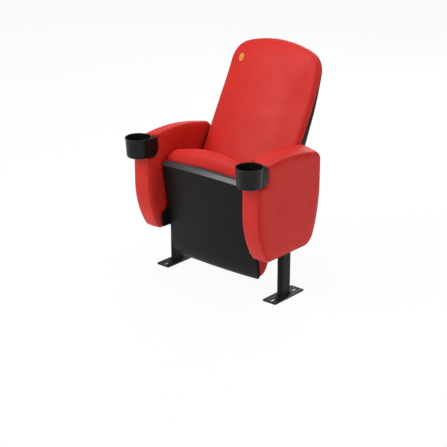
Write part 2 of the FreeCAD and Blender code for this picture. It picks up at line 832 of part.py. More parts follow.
# The cushion's levels, lowest first: share of its height, then how far the rear end, the front and the
# sides are drawn in, the radii of the rear and front corners, and the share of the nose's arch
CUSHION_LEVELS = (
    (0, 6, 70, 3, 20, 24, 0.15),
    (0.14, 5, 30, 1, 24, 38, 0.46),
    (0.35, 8, 4, 0, 30, 50, 0.85),
    (0.56, 22, 0, 0, 36, 56, 1),
    (0.74, 44, 12, 4, 44, 60, 1),
    (0.9, 72, 32, 14, 48, 62, 0.85),
    (0.98, 124, 66, 38, 50, 62, 0.69),
    (1, 180, 120, 80, 50, 60, 0.54),
)


def seat_cushion():
    base = SHELL_RIM_T + TOUCH
    sections = []
    for height, rear, front_in, side_in, rear_radius, front_radius, arch in CUSHION_LEVELS:
        t = base + height * (CUSHION_TOP_T - base)
        front = CUSHION_LENGTH - front_in
        half = SEAT_HALF_WIDTH - side_in
        sections.append(
            cushion_section(t, rear, front, half, rear_radius, front_radius, arch * NOSE_ARCH)
        )
    cushion = skin(sections)
    for side in (-1, 1):
        cushion = cushion.cut(hinge_room(side))
    return solid(cushion)


# Pivot


def pivot_housing():
    """The cover on the arm's inner face: round about the pivot, with a foot that runs forward and down."""
    face = INNER_FACE_X - TOUCH
    head = HOUSING_HEAD_RADIUS
    corner = HOUSING_CORNER_RADIUS
    bend = corner * (1 - math.sqrt(0.5))
    front = HOUSING_FRONT_Y
    rear = PIVOT_Y + head
    floor = HOUSING_FLOOR_Z
    shoulder = (PIVOT_Y - head - HOUSING_SHOULDER[0], PIVOT_Z - HOUSING_SHOULDER[1])
    wire = outline(
        lambda y, z: vector(face - HOUSING_THICKNESS, y, z),
        (front + corner, floor),
        (rear - corner, floor),
        ((rear - bend, floor + bend), (rear, floor + corner)),
        (rear, PIVOT_Z),
        ((PIVOT_Y, PIVOT_Z + head), (PIVOT_Y - head, PIVOT_Z)),
        (shoulder, (front, PIVOT_Z - HOUSING_SHOULDER_END)),
        (front, floor + corner),
        ((front + bend, floor + bend), (front + corner, floor)),
    )
    housing = prism(wire, X_AXIS * HOUSING_THICKNESS)
    housing = housing.fuse(cylinder_x(HOUSING_BOSS_RADIUS, face - OVERCUT, BOSS_END_X, PIVOT_Y, PIVOT_Z))
    bore_radius = PIN_RADIUS + PIN_PLAY + BUSH_WALL
    bore = cylinder_x(bore_radius, face - HOUSING_THICKNESS, BUSH_END_X, PIVOT_Y, PIVOT_Z)
    stud_hole = cylinder_x(STUD_RADIUS, face - HOUSING_THICKNESS, face, *STUD)
    return solid(housing.cut(bore).cut(stud_hole))


def pivot_bush():
    face = INNER_FACE_X - TOUCH - HOUSING_THICKNESS
    outer = PIN_RADIUS + PIN_PLAY + BUSH_WALL
    bush = cylinder_x(outer, face, BUSH_END_X, PIVOT_Y, PIVOT_Z)
    flange = cylinder_x(BUSH_FLANGE_RADIUS, face - BUSH_FLANGE, face, PIVOT_Y, PIVOT_Z)
    bore = cylinder_x(PIN_RADIUS + PIN_PLAY, face - BUSH_FLANGE, BUSH_END_X, PIVOT_Y, PIVOT_Z)
    return solid(bush.fuse(flange).cut(bore))


def stop_stud():
    return cylinder_x(STUD_RADIUS, HINGE_PLATE_X + OVERCUT, INNER_FACE_X - TOUCH, *STUD)


def hinge_plate():
    x_to = HINGE_PLATE_X + HINGE_PLATE_THICKNESS
    cut_from = HINGE_PLATE_X - OVERCUT
    cut_to = x_to + OVERCUT
    plate = ear(HINGE_PLATE_RADIUS, HINGE_PLATE_X, x_to, HINGE_PLATE_FOOT_T)
    plate = plate.cut(cylinder_x(PIN_RADIUS, cut_from, cut_to, PIVOT_Y, PIVOT_Z))
    return solid(plate.cut(stud_slot(cut_from, cut_to)))


def cross_bar():
    """The flat bar under the board that ties the two hinge plates together."""
    high = SHELL_RIM_T - SEAT_BOARD_THICKNESS - TOUCH
    low = high - CROSS_BAR_THICKNESS
    corner = seat_point(0, PIVOT_S - CROSS_BAR_WIDTH / 2, low)
    along = seat_point(0, CROSS_BAR_WIDTH, 0) - seat_point(0, 0, 0)
    up = seat_point(0, 0, CROSS_BAR_THICKNESS) - seat_point(0, 0, 0)
    reach = HINGE_PLATE_X - TOUCH
    start = corner - X_AXIS * reach
    edges = [start, start + along, start + along + up, start + up, start]
    return prism(Part.makePolygon(edges), X_AXIS * (2 * reach))


def pivot_pin():
    return cylinder_x(PIN_RADIUS, HINGE_PLATE_X, BUSH_END_X - PIN_END_GAP, PIVOT_Y, PIVOT_Z)


def spring_barrel():
    x_to = HINGE_PLATE_X
    return cylinder_x(BARREL_RADIUS, x_to - BARREL_LENGTH, x_to, PIVOT_Y, PIVOT_Z)


PAIRS = {
    "foot_plate": foot_plate,
    "post": post,
    "arm_core": arm_core,
    "arm_upholstery": arm_upholstery,
    "cup_holder": cup_holder,
    "cup_mount": cup_mount,
    "back_bracket": back_bracket,
    "pivot_housing": pivot_housing,
    "pivot_bush": pivot_bush,
    "stop_stud": stop_stud,
    "hinge_plate": hinge_plate,
    "pivot_pin": pivot_pin,
    "spring_barrel": spring_barrel,
}
SINGLES = {
    "back_cushion": back_cushion,
    "back_board": back_board,
    "back_shell": back_shell,
    "seat_number_plate": seat_number_plate,
    "seat_cushion": seat_cushion,
    "seat_shell": seat_shell,
    "seat_board": seat_board,
    "cross_bar": cross_bar,
}


def middle_of_depth():
    """Y of the middle between the cups' front and the rearmost point of the backrest."""
    rearmost = max(
        back_point(0, s, -BACK_GUSSET - shell_edge(s) - shell_bulge(s)).y for s in BACK_STATIONS
    )
    return (CUP_Y - CUP_RIM_RADIUS + rearmost) / 2


ORIGIN_Y = middle_of_depth()


def save(name, shape):
    shape = shape.copy()
    shape.translate(Y_AXIS * -ORIGIN_Y)
    shape.exportStep(f"parts/{name}.step")
    box = shape.BoundBox
    facets = shape.tessellate(0.5)[1]
    print(
        f"{name}: {len(shape.Solids)} solid, valid {shape.isValid()}, "
        f"x {box.XMin:.1f}..{box.XMax:.1f}, y {box.YMin:.1f}..{box.YMax:.1f}, "
        f"z {box.ZMin:.1f}..{box.ZMax:.1f}, {shape.Volume / 1000:.0f} cm3, {len(facets)} facets"
    )


def main():
    os.makedirs("parts", exist_ok=True)
    for name, make in PAIRS.items():
        shape = make()
        save(f"left_{name}", shape)
        save(f"right_{name}", shape.mirror(vector(0, 0, 0), X_AXIS))
    for name, make in SINGLES.items():
        save(name, make())
    print(f"posts at y {-ORIGIN_Y:.2f}, pivot at y {PIVOT_Y - ORIGIN_Y:.2f}, z {PIVOT_Z:.2f}")


main()
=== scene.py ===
"""Looks of a tip-up auditorium seat: upholstery, mouldings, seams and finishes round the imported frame.

Lengths are in metres, +X is the sitter's left and -Y the front. Places along Y are given from the line of the
posts and moved by POST_Y, and what comes in pairs is worked out for the sitter's left and mirrored in X.
"""
import json
import math

import bmesh
import bpy
import numpy as np
from bpy.props import FloatProperty, FloatVectorProperty, PointerProperty
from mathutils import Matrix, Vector
from mathutils.bvhtree import BVHTree

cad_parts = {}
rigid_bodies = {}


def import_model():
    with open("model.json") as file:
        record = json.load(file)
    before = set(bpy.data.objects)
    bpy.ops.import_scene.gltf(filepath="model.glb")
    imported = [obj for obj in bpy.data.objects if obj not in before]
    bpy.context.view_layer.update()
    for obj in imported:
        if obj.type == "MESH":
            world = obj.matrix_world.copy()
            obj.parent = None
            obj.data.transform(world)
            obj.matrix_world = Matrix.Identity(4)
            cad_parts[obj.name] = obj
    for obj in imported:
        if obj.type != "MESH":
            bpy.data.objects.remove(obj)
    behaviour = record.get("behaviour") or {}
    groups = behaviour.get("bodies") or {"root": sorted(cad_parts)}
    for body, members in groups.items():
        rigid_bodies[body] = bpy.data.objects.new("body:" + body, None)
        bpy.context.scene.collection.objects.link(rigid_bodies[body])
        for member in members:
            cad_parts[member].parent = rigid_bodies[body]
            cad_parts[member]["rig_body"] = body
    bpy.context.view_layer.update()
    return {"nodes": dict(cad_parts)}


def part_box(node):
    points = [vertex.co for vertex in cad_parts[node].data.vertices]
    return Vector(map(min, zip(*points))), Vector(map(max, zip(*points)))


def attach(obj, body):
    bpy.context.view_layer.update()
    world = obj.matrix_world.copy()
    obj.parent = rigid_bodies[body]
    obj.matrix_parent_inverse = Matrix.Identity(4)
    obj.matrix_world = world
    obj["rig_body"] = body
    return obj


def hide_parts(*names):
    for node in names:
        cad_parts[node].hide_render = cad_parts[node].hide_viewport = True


bl_info = {
    "name": "Auditorium Seat",
    "version": (1, 0, 0),
    "blender": (4, 5, 0),
    "location": "View3D > Sidebar > Seat",
    "description": "Upholstery, mouldings, seams and finishes of a tip-up auditorium seat",
    "category": "Object",
}

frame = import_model()
MM = 0.001
TURN = 2 * math.pi
SIDES = (("left", 1), ("right", -1))
POST_LOW, POST_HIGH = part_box("left_post")
POST_X = (POST_LOW.x + POST_HIGH.x) / 2
POST_Y = (POST_LOW.y + POST_HIGH.y) / 2
INNER_FACE_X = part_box("left_arm_upholstery")[0].x
OUTER_FACE_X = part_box("left_arm_upholstery")[1].x
ARM_MIDDLE_X = (OUTER_FACE_X + INNER_FACE_X) / 2
ARM_HALF_WIDTH = (OUTER_FACE_X - INNER_FACE_X) / 2


def length(name, default, description):
    """A length in metres, shown to a tenth of a millimetre."""
    return FloatProperty(name=name, default=default, description=description, unit="LENGTH", precision=4)


def colour(name, default, description):
    """A colour, as shares of red, green and blue light."""
    return FloatVectorProperty(name=name, default=default, description=description, subtype="COLOR", size=3)


class ArmSizes(bpy.types.PropertyGroup):
    """Sizes of the upholstered arms."""

    front: length("Front", -0.213, "Front face, from the line of the posts")
    rear: length("Rear", 0.178, "Rear face, from the line of the posts")
    bottom: length("Bottom", 0.197, "Height of the underside")
    top: length("Top", 0.621, "Height of the top at its middle, at the inner face")
    top_slope: length("Top slope", 0.020, "How far the top falls towards the outer face")
    rounding: length("Rounding", 0.060, "How far in from the edge a side face is still rounded")
    seam_inset: length("Seam inset", 0.0075, "From the edge to the seam round each side face")
    seam_depth: length("Seam depth", 0.0024, "Depth of the furrow along the seam")


class BackSizes(bpy.types.PropertyGroup):
    """Sizes of the backrest, measured along its spine from the foot."""

    foot_y: length("Foot Y", 0.0238, "Foot of the spine, from the line of the posts")
    foot_z: length("Foot Z", 0.357, "Height of the foot of the spine")
    straight: length("Straight", 0.390, "Length of the straight part of the spine")
    bend_radius: length("Bend radius", 1.350, "Radius of the spine above its straight part")
    spine: length("Spine", 0.663, "Length of the spine")
    half_width: length("Half width", 0.232, "Half the width between the arms")
    foot_radius: length("Foot radius", 0.040, "Radius of the corners at the foot")
    corner_radius: length("Shoulder radius", 0.092, "Radius of the shoulders")
    taper: length("Taper", 0.006, "How far each side is drawn in at the shoulders")
    top_arch: length("Top arch", 0.038, "How far the top rises over the shoulders")
    crown: length("Crown", 0.030, "How far the front panel stands out")
    growth: length("Growth", 0.003, "How far the simulation blows the front panel out")
    gusset: length("Gusset", 0.025, "Depth of the side band")
    edge_roll: length("Edge roll", 0.013, "Radius between side band and front panel")
    shell_edge: length("Shell edge", 0.008, "Depth of the rear shell's side at the shoulders")
    shell_flare: length("Shell flare", 0.026, "What that depth grows by between the arms")
    shell_bulge: length("Shell bulge", 0.072, "How far the rear shell stands out behind its edge")
    shell_floor: length("Shell floor", 0.348, "Height of the rear shell's level underside")


class PanSizes(bpy.types.PropertyGroup):
    """Sizes of the seat, measured along the pan from its rear end and up from its underside."""

    foot_y: length("Foot Y", -0.086, "Rear end of the tipped pan, from the line of the posts")
    foot_z: length("Foot Z", 0.071, "Height of the rear end of the tipped pan")
    half_width: length("Half width", 0.229, "Half the width of the seat")
    shell: length("Shell length", 0.437, "Length of the moulded tray")
    rim: length("Rim", 0.020, "Height of the tray's rim")
    belly: length("Belly", 0.012, "How far the tray bellies out at the middle of its width")
    cushion: length("Cushion length", 0.494, "Length of the cushion at the middle of its nose")
    top: length("Cushion top", 0.106, "Height of the cushion's top over the tray's underside")
    lip: length("Lip", 0.0155, "Width of the sloping face along the tray's front lip")
    lip_arch: length("Lip arch", 0.013, "How far the middle of the lip stands forward of its ends")
    arch: length("Nose arch", 0.026, "How far the nose stands forward of its corners")


class CupSizes(bpy.types.PropertyGroup):
    """Sizes of the cup holders."""

    middle_y: length("Middle", -0.2206, "The cup's axis, from the line of the posts")
    rim_z: length("Rim height", 0.603, "Height of the rim")
    height: length("Height", 0.081, "Height of the cup")
    rim_radius: length("Rim radius", 0.055, "Outer radius of the rim")
    base_radius: length("Base radius", 0.048, "Outer radius of the base")
    wall: length("Wall", 0.0025, "Thickness of the wall")


class Finishes(bpy.types.PropertyGroup):
    """Colours of the finishes."""

    leatherette: colour("Leatherette", (0.61, 0.024, 0.017), "Red upholstery")
    leatherette_dark: colour("Leatherette, worn in", (0.44, 0.013, 0.011), "Red upholstery in its creases")
    thread: colour("Thread", (0.50, 0.022, 0.018), "Sewing thread")
    moulding: colour("Moulding", (0.0066, 0.0052, 0.0058), "Black mouldings")
    powder: colour("Powder coat", (0.0066, 0.0054, 0.0058), "Black coated steel")
    amber: colour("Amber", (0.80, 0.30, 0.03), "Seat number plate")
    floor: colour("Floor", (0.93, 0.93, 0.93), "Studio floor")


class StageSizes(bpy.types.PropertyGroup):
    """Camera and floor of the studio."""

    azimuth: FloatProperty(
        name="Azimuth", default=math.radians(40.75), subtype="ANGLE", description="Camera, round the seat"
    )
    elevation: FloatProperty(
        name="Elevation", default=math.radians(21.03), subtype="ANGLE", description="Camera, over the horizon"
    )
    distance: length("Distance", 5.2497, "Camera to what it looks at")
    focal: FloatProperty(name="Focal length", default=102.65, description="Lens, in mm on a 36 mm sensor")
    floor: length("Floor", 60.0, "Side of the floor")


def arc(first, middle, last):
    """Points on the circle through three points. Its centre solves |p - c| equal for all three."""
    count = 28
    first, middle, last = (np.array(p, float) for p in (first, middle, last))
    chords = 2 * np.array([middle - first, last - first])
    centre = np.linalg.solve(chords, [middle @ middle - first @ first, last @ last - first @ first])
    angles = [math.atan2(*(p - centre)[::-1]) for p in (first, middle, last)]
    turn = (angles[2] - angles[0]) % TURN
    if (angles[1] - angles[0]) % TURN > turn:
        turn -= TURN
    sweep = angles[0] + turn * np.linspace(0, 1, count)
    radius = np.linalg.norm(first - centre)
    return centre + radius * np.column_stack([np.cos(sweep), np.sin(sweep)])


def curve(start, *steps):
    """A flat curve of straight lines and arcs. A step is a line's end or (middle, end) of an arc."""
    parts = [np.array([start], float)]
    here = start
    for step in steps:
        if isinstance(step[0], tuple):
            parts.append(arc(here, *step)[1:])
            here = step[1]
        else:
            parts.append(np.array([step], float))
            here = step
    return np.vstack(parts)


def even(points, count, closed=True):
    """The same curve with its points at even steps of its own length."""
    loop = np.vstack([points, points[:1]]) if closed else points
    run = np.concatenate([[0], np.cumsum(np.linalg.norm(np.diff(loop, axis=0), axis=1))])
    at = np.linspace(0, run[-1], count, endpoint=not closed)
    return np.column_stack([np.interp(at, run, loop[:, axis]) for axis in range(loop.shape[1])])


def eased(points, passes):
    """A closed curve with each point drawn to the mean of its neighbours, so that corners turn round."""
    for _ in range(passes):
        points = 0.5 * points + 0.25 * (np.roll(points, 1, axis=0) + np.roll(points, -1, axis=0))
    return points


def spline(knots, values, at):
    """Values between rows of a table, on the cubic through them whose slopes are the chords' means."""
    knots = np.asarray(knots, float)
    values = np.asarray(values, float).reshape(len(knots), -1)
    chord = np.diff(values, axis=0) / np.diff(knots)[:, None]
    slope = np.vstack([chord[:1], (chord[1:] + chord[:-1]) / 2, chord[-1:]])
    at = np.clip(at, knots[0], knots[-1])
    left = np.clip(np.searchsorted(knots, at, side="right") - 1, 0, len(knots) - 2)
    span = np.diff(knots)[left][:, None]
    u = ((at - knots[left])[:, None]) / span
    low, high = values[left], values[left + 1]
    return (
        low * (1 + 2 * u) * (1 - u) ** 2
        + high * u**2 * (3 - 2 * u)
        + span * (slope[left] * u * (1 - u) ** 2 - slope[left + 1] * u**2 * (1 - u))
    )


def smooth_step(value, low, high):
    """0 below low, 1 above high. Between them, at u of the way, it is 3 u squared less 2 u cubed."""
    u = np.clip((value - low) / (high - low), 0, 1)
    return u * u * (3 - 2 * u)


def distance_to(points, line):
    """Distance of each point from a closed polyline: to the nearest point of its nearest segment."""
    batch = 4096
    along = np.roll(line, -1, axis=0) - line
    square = np.maximum((along**2).sum(1), 1e-12)
    flat = points.reshape(-1, points.shape[-1])
    best = np.empty(len(flat))
    for first in range(0, len(flat), batch):
        offset = flat[first:first + batch, None, :] - line[None]
        share = np.clip((offset * along).sum(2) / square, 0, 1)
        best[first:first + batch] = np.sqrt(((offset - share[..., None] * along) ** 2).sum(2).min(1))
    return best.reshape(points.shape[:-1])


def ripple(p, q, size, seed):
    """A soft unevenness of height one: four sine waves of uneven direction and phase over p and q."""
    total = np.zeros(np.broadcast(p, q).shape)
    for k in range(4):
        bearing = seed + 2.4 * k
        pace = TURN / size * (0.7 + 0.23 * k)
        total += np.sin(pace * (p * math.cos(bearing) + q * math.sin(bearing)) + 1.7 * seed + k)
    return total / 4


def unit(rows):
    """Rows brought to length one."""
    return rows / np.linalg.norm(rows, axis=1)[:, None]


def heading(path):
    """The way along a closed curve at each point: from the point before it to the point after it."""
    return unit(np.roll(path, -1, axis=0) - np.roll(path, 1, axis=0))


def inward(outline, heart):
    """The way square to a flat closed curve at each point, on the side where its heart lies."""
    along = heading(outline)
    square = np.column_stack([along[:, 1], -along[:, 0]])
    return square if ((heart - outline) * square).sum() > 0 else -square


def oval(half_u, half_v, fineness, count):
    """A flat oval at even steps: half circles of half_u, joined by straight sides, that reach half_v."""
    turn = np.linspace(0, TURN, fineness, endpoint=False)
    straight = half_v - half_u
    ends = half_u * np.sin(turn) + straight * np.sign(np.sin(turn))
    return even(np.column_stack([half_u * np.cos(turn), ends]), count)


def cross_section(across, line, half, level, count, passes):
    """A section: a line from side to side, then up both sides to a straight top, with its corners eased."""
    loop = np.vstack([np.column_stack([across * half, line]), [(half, level), (-half, level)]])
    return eased(even(loop, count), passes)


def read(items, field, width=3, kind=float):
    """A field of a mesh's points, edges or faces as an array with a row for each."""
    values = np.empty(len(items) * width, kind)
    items.foreach_get(field, values)
    return values.reshape(-1, width)


def move_points(mesh, places):
    """Puts the mesh's points at those places."""
    mesh.vertices.foreach_set("co", places.ravel())
    mesh.update()


def outward(mesh):
    """Turns all faces over if the volume that they enclose comes out negative."""
    mesh.calc_loop_triangles()
    corners = read(mesh.loop_triangles, "vertices", kind=np.int32)
    a, b, c = read(mesh.vertices, "co")[corners].transpose(1, 0, 2)
    if (a * np.cross(b, c)).sum() < 0:
        mesh.flip_normals()


def add_object(name, mesh, body):
    """A piece of the scene that rides on that body."""
    piece = bpy.data.objects.new(name, mesh)
    bpy.context.scene.collection.objects.link(piece)
    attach(piece, body)
    return piece


def new_piece(name, points, faces, body, material):
    """A closed smooth piece from its points and faces, turned to face outwards."""
    mesh = bpy.data.meshes.new(name)
    mesh.from_pydata(points.tolist(), [], faces)
    mesh.update()
    outward(mesh)
    mesh.polygons.foreach_set("use_smooth", np.full(len(mesh.polygons), True))
    if material:
        mesh.materials.append(material)
    return add_object(name, mesh, body)


def surface(name, grid, body, material=None, ends="poles"):
    """A mesh over a grid of points, rows by columns, closed round its columns.

    Ends that are poles get one point at the mean of the first and last row, joined to it by triangles; ends
    that are joined run the last row on into the first, as in a ring.
    """
    rows, columns = grid.shape[:2]
    points = grid.reshape(-1, 3)
    row = np.arange(rows if ends == "joined" else rows - 1)[:, None] * columns
    below = (row + columns) % (rows * columns)
    around = np.arange(columns)
    after = (around + 1) % columns
    quads = np.stack([row + around, row + after, below + after, below + around], axis=-1)
    faces = quads.reshape(-1, 4).tolist()
    if ends == "poles":
        pole = np.full(columns, len(points))
        points = np.vstack([points, grid[0].mean(0), grid[-1].mean(0)])
        last = (rows - 1) * columns
        faces += np.column_stack([after, around, pole]).tolist()
        faces += np.column_stack([last + around, last + after, pole + 1]).tolist()
    return new_piece(name, points, faces, body, material)


def welt(name, path, outwards, radius, body, material):
    """A round cord sewn along a closed path: a circle of that radius carried square to the path."""
    along = heading(path)
    side = unit(np.cross(along, outwards))
    up = np.cross(side, along)
    turn = np.linspace(0, TURN, 10, endpoint=False)
    circle = np.cos(turn)[None, :, None] * side[:, None] + np.sin(turn)[None, :, None] * up[:, None]
    return surface(name, path[:, None] + radius * circle, body, material, ends="joined")


def stitches(name, path, outwards, pitch, body, material):
    """A row of sewn stitches along a closed path: one small spindle copied at even steps along it."""
    total = np.linalg.norm(np.roll(path, -1, axis=0) - path, axis=1).sum()
    count = int(total / pitch)
    places = even(np.hstack([path, outwards]), count)
    spots, ups = places[:, :3], unit(places[:, 3:])
    along = unit(np.roll(spots, -1, axis=0) - spots)
    side = np.cross(along, ups)
    reach = np.array([-0.36, -0.24, 0.24, 0.36]) * pitch
    fat = np.array([0.10, 1.0, 1.0, 0.10]) * 0.42 * MM
    rings, corners = len(reach), 5
    turn = np.linspace(0, TURN, corners, endpoint=False)
    ring = fat[:, None, None] * np.stack([np.cos(turn), np.sin(turn)], -1)
    points = (
        spots[:, None, None]
        + reach[:, None, None] * along[:, None, None]
        + ring[..., :1] * side[:, None, None]
        + ring[..., 1:] * ups[:, None, None]
    )
    around = np.arange(corners)
    after = (around + 1) % corners
    row = corners * np.arange(rings - 1)[:, None]
    sides = np.stack([row + around, row + after, row + corners + after, row + corners + around], axis=-1)
    caps = np.stack([around[::-1], corners * (rings - 1) + around])
    first = corners * rings * np.arange(count)[:, None, None]
    walls = (sides.reshape(-1, 4) + first).reshape(-1, 4).tolist()
    faces = walls + (caps + first).reshape(-1, corners).tolist()
    return new_piece(name, points.reshape(-1, 3), faces, body, material)


def sizes(name):
    """The group of sizes or colours of that name, as the panel shows it."""
    return getattr(bpy.context.scene, "seat_" + name)


# Arms

ARM_FURROW_WIDTH = 0.0028
WAVE_HEIGHT = 0.0012
WAVE_LENGTH = 0.19
FACE_SLACK = 0.0008
OUTER_FACE_RISE = 0.0006
BAND_SWELL = 0.004


def arm_curve(arm, cup):
    """The arm seen from its side, along Y and Z, with the notch at its front corner for the cup mount."""
    front, rear, low = arm.front, arm.rear, arm.bottom
    front_top, rear_top = arm.top - 0.010, arm.top - 0.021
    middle = (front + rear) / 2
    notch_rear, notch_low = -0.158, cup.rim_z - cup.height
    outline = curve(
        (notch_rear, front_top),
        ((middle, arm.top), (rear - 0.037, rear_top)),
        ((rear - 0.010, rear_top - 0.015), (rear, rear_top - 0.046)),
        (rear, low + 0.262),
        ((rear - 0.009, low + 0.150), (rear - 0.038, low + 0.044)),
        ((rear - 0.062, low + 0.012), (rear - 0.098, low)),
        (front + 0.076, low),
        ((front + 0.064, low + 0.003), (front + 0.056, low + 0.012)),
        ((front + 0.016, low + 0.100), (front, low + 0.216)),
        (front, notch_low),
        (notch_rear - 0.018, notch_low),
        ((notch_rear - 0.005, notch_low + 0.012), (notch_rear, cup.rim_z - 0.041)),
    )
    return eased(even(outline, 480), 3)


def arm_reach(depth, rounding):
    """Share of the half width at that depth from the edge: half of it at the edge, all past the rounding."""
    left = 1 - np.clip(depth / rounding, 0, 1)
    return 0.5 + 0.5 * (1 - left**5) ** 0.32


def arm_place(arm, x, y, z):
    """From the arm's own sizes to the seat: the top falls towards the outer face."""
    share = (x - INNER_FACE_X) / (OUTER_FACE_X - INNER_FACE_X)
    fall = arm.top_slope * share * smooth_step(z, arm.top - 0.12, arm.top - 0.012)
    return np.stack([x, y + POST_Y, z - fall], axis=-1)


def arm_heart(arm):
    """Middle of the arm's side face, along Y and Z."""
    return np.array([(arm.front + arm.rear) / 2, (arm.bottom + arm.top) / 2])


def arm_grid(arm, cup):
    """Rings from the middle of one side face, over the edge band, to the middle of the other.

    A ring is the outline drawn in towards the arm's heart, and its distance from the edge gives its X. The
    band between the faces swells by a parabola over its width.
    """
    outline = arm_curve(arm, cup)
    heart = arm_heart(arm)
    share = 1 - np.linspace(0, 1, 38)[:-1] ** 2.2
    face = heart + share[:, None, None] * (outline - heart)
    depth = distance_to(face, outline)
    reach = ARM_HALF_WIDTH * arm_reach(depth, arm.rounding)
    reach -= arm.seam_depth * np.exp(-(((depth - arm.seam_inset) / ARM_FURROW_WIDTH) ** 2))
    waves = smooth_step(depth, 0.012, 0.05) * ripple(face[..., 0], face[..., 1], WAVE_LENGTH, 1.3)
    reach += WAVE_HEIGHT * waves - FACE_SLACK
    inner = arm_place(arm, ARM_MIDDLE_X - reach, face[..., 0], face[..., 1])[::-1]
    outer = arm_place(arm, ARM_MIDDLE_X + reach + OUTER_FACE_RISE, face[..., 0], face[..., 1])
    across = np.linspace(-1, 1, 11)[1:-1, None]
    swell = 1 + BAND_SWELL * (1 - across**2)
    strip_y = heart[0] + swell * (outline[:, 0] - heart[0])
    strip_z = heart[1] + swell * (outline[:, 1] - heart[1])
    strip = arm_place(arm, ARM_MIDDLE_X + across * ARM_HALF_WIDTH * 0.5 + 0 * strip_y, strip_y, strip_z)
    return np.vstack([inner, strip, outer])


def arm_seam(arm, cup, side):
    """The seam's path on one side face, and the way out of the face along it."""
    outline = arm_curve(arm, cup)
    inwards = inward(outline, arm_heart(arm))
    path = eased(outline + arm.seam_inset * inwards, 4)
    reach = ARM_HALF_WIDTH * arm_reach(np.float64(arm.seam_inset), arm.rounding) - arm.seam_depth * 0.55
    x = np.full(len(path), ARM_MIDDLE_X + side * reach)
    out = np.column_stack([np.full(len(path), side * 1.0), -inwards * 0.55])
    return arm_place(arm, x, path[:, 0], path[:, 1]), out


class SEAT_OT_arms(bpy.types.Operator):
    """Upholster both arms: pillowed side faces, a band round the edge and a welted seam between them"""

    bl_idname = "seat.arms"
    bl_label = "Arms"

    def sew(self, name, path, out, way, flip):
        """A welt along the seam, and a row of stitches beside it on the edge band."""
        welt(f"{name}_welt", path * flip, out * flip, 1.7 * MM, "base", leatherette())
        lifted = path + unit(out) * 0.0007
        outwards = unit(np.column_stack([np.zeros(len(out)), out[:, 1:]]))
        row = lifted - outwards * 4.6 * MM + np.array([way * 2.6 * MM, 0, 0])
        stitches(f"{name}_stitches", row * flip, out * flip, 5.2 * MM, "base", sewing_thread())

    def execute(self, context):
        arm, cup = sizes("arm"), sizes("cup")
        grid = arm_grid(arm, cup)
        for side, sign in SIDES:
            flip = np.array([sign, 1, 1])
            cover = surface(f"{side}_arm_cover", grid * flip, "base", leatherette())
            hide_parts(f"{side}_arm_upholstery")
            for face, way in (("inner", -1), ("outer", 1)):
                self.sew(f"{side}_arm_{face}", *arm_seam(arm, cup, way), way, flip)
        return {"FINISHED"}


# Backrest

BACK_RAKE = math.radians(28.4)
TAPER_START = 0.412
TAPER_RUN = 0.150
ARCH_OVER_SHOULDER = 0.3
FLARE_END = 0.552
FLARE_RUN = 0.300
SHELL_GAP = 0.0004


def spine_rake(back, s):
    """Lean of the spine at s: the rake along its straight part, and ever less along the arc above it."""
    return BACK_RAKE - np.maximum(0, s - back.straight) / back.bend_radius


def spine_place(back, x, s, n):
    """From the backrest's own sizes to the seat: s along the spine, n in front of the seam plane."""
    rake = spine_rake(back, s)
    sine, cosine = math.sin(BACK_RAKE), math.cos(BACK_RAKE)
    straight = np.minimum(s, back.straight)
    y = back.foot_y + straight * sine + back.bend_radius * (np.cos(rake) - cosine)
    z = back.foot_z + straight * cosine + back.bend_radius * (sine - np.sin(rake))
    return np.stack([x + 0 * y, y - n * np.cos(rake) + POST_Y, z + n * np.sin(rake)], axis=-1)


def back_half_width(back, s):
    """Half the width at s: a rounded foot, a slight taper, round shoulders and an arched top.

    A shoulder is the circle that touches both the side and, from within, the circle of the arched top.
    """
    foot_radius, corner, taper = back.foot_radius, back.corner_radius, back.taper
    width = back.half_width - taper * np.clip((s - TAPER_START) / TAPER_RUN, 0, 1)
    drop = np.clip(foot_radius - s, 0, foot_radius)
    width_at_foot = width - foot_radius + np.sqrt(foot_radius**2 - drop**2)
    shoulder = back.half_width - taper
    chord = shoulder - ARCH_OVER_SHOULDER * corner
    arch_radius = (chord**2 + back.top_arch**2) / (2 * back.top_arch)
    arch_centre = back.spine - arch_radius
    reach = math.sqrt((arch_radius - corner) ** 2 - (shoulder - corner) ** 2)
    rise = np.clip(s - arch_centre - reach, 0, corner)
    on_shoulder = shoulder - corner + np.sqrt(corner**2 - rise**2)
    on_arch = np.sqrt(np.maximum(0, arch_radius**2 - (s - arch_centre) ** 2))
    past_shoulder = s > arch_centre + reach * arch_radius / (arch_radius - corner)
    above = np.where(past_shoulder, on_arch, on_shoulder)
    return np.where(s < foot_radius, width_at_foot, np.where(rise > 0, above, width))


def back_curve(back, count=440):
    """The front panel's outline, along X and s, from the widths at both ends and between."""
    half_turn = 0.5 - 0.5 * np.cos(np.linspace(0, math.pi, 400))
    s = back.spine * half_turn
    x = back_half_width(back, s)
    outline = np.vstack([np.column_stack([x, s]), np.column_stack([-x, s])[::-1]])
    return eased(even(outline, count), 6)


def back_crown(back, x, s):
    """How far the front panel stands out: a parabola over its width, full over most of its length.

    Near both ends the width counts as at least 0.05, so that the parabola has a width to go by.
    """
    middle = back.spine / 2
    full = (back.crown - back.growth) * (1 - np.abs((s - middle) / middle) ** 5)
    half = np.maximum(back_half_width(back, np.clip(s, 0.004, back.spine - 0.003)), 0.05)
    return full * (1 - np.clip(np.abs(x) / half, 0, 1) ** 2)


def back_front(back, x, s, depth):
    """Height of the front panel: its crown, less a quarter round along its edge."""
    left = 1 - np.clip(depth / back.edge_roll, 0, 1)
    return back_crown(back, x, s) - back.edge_roll * (1 - np.sqrt(np.maximum(0, 1 - left**2)))


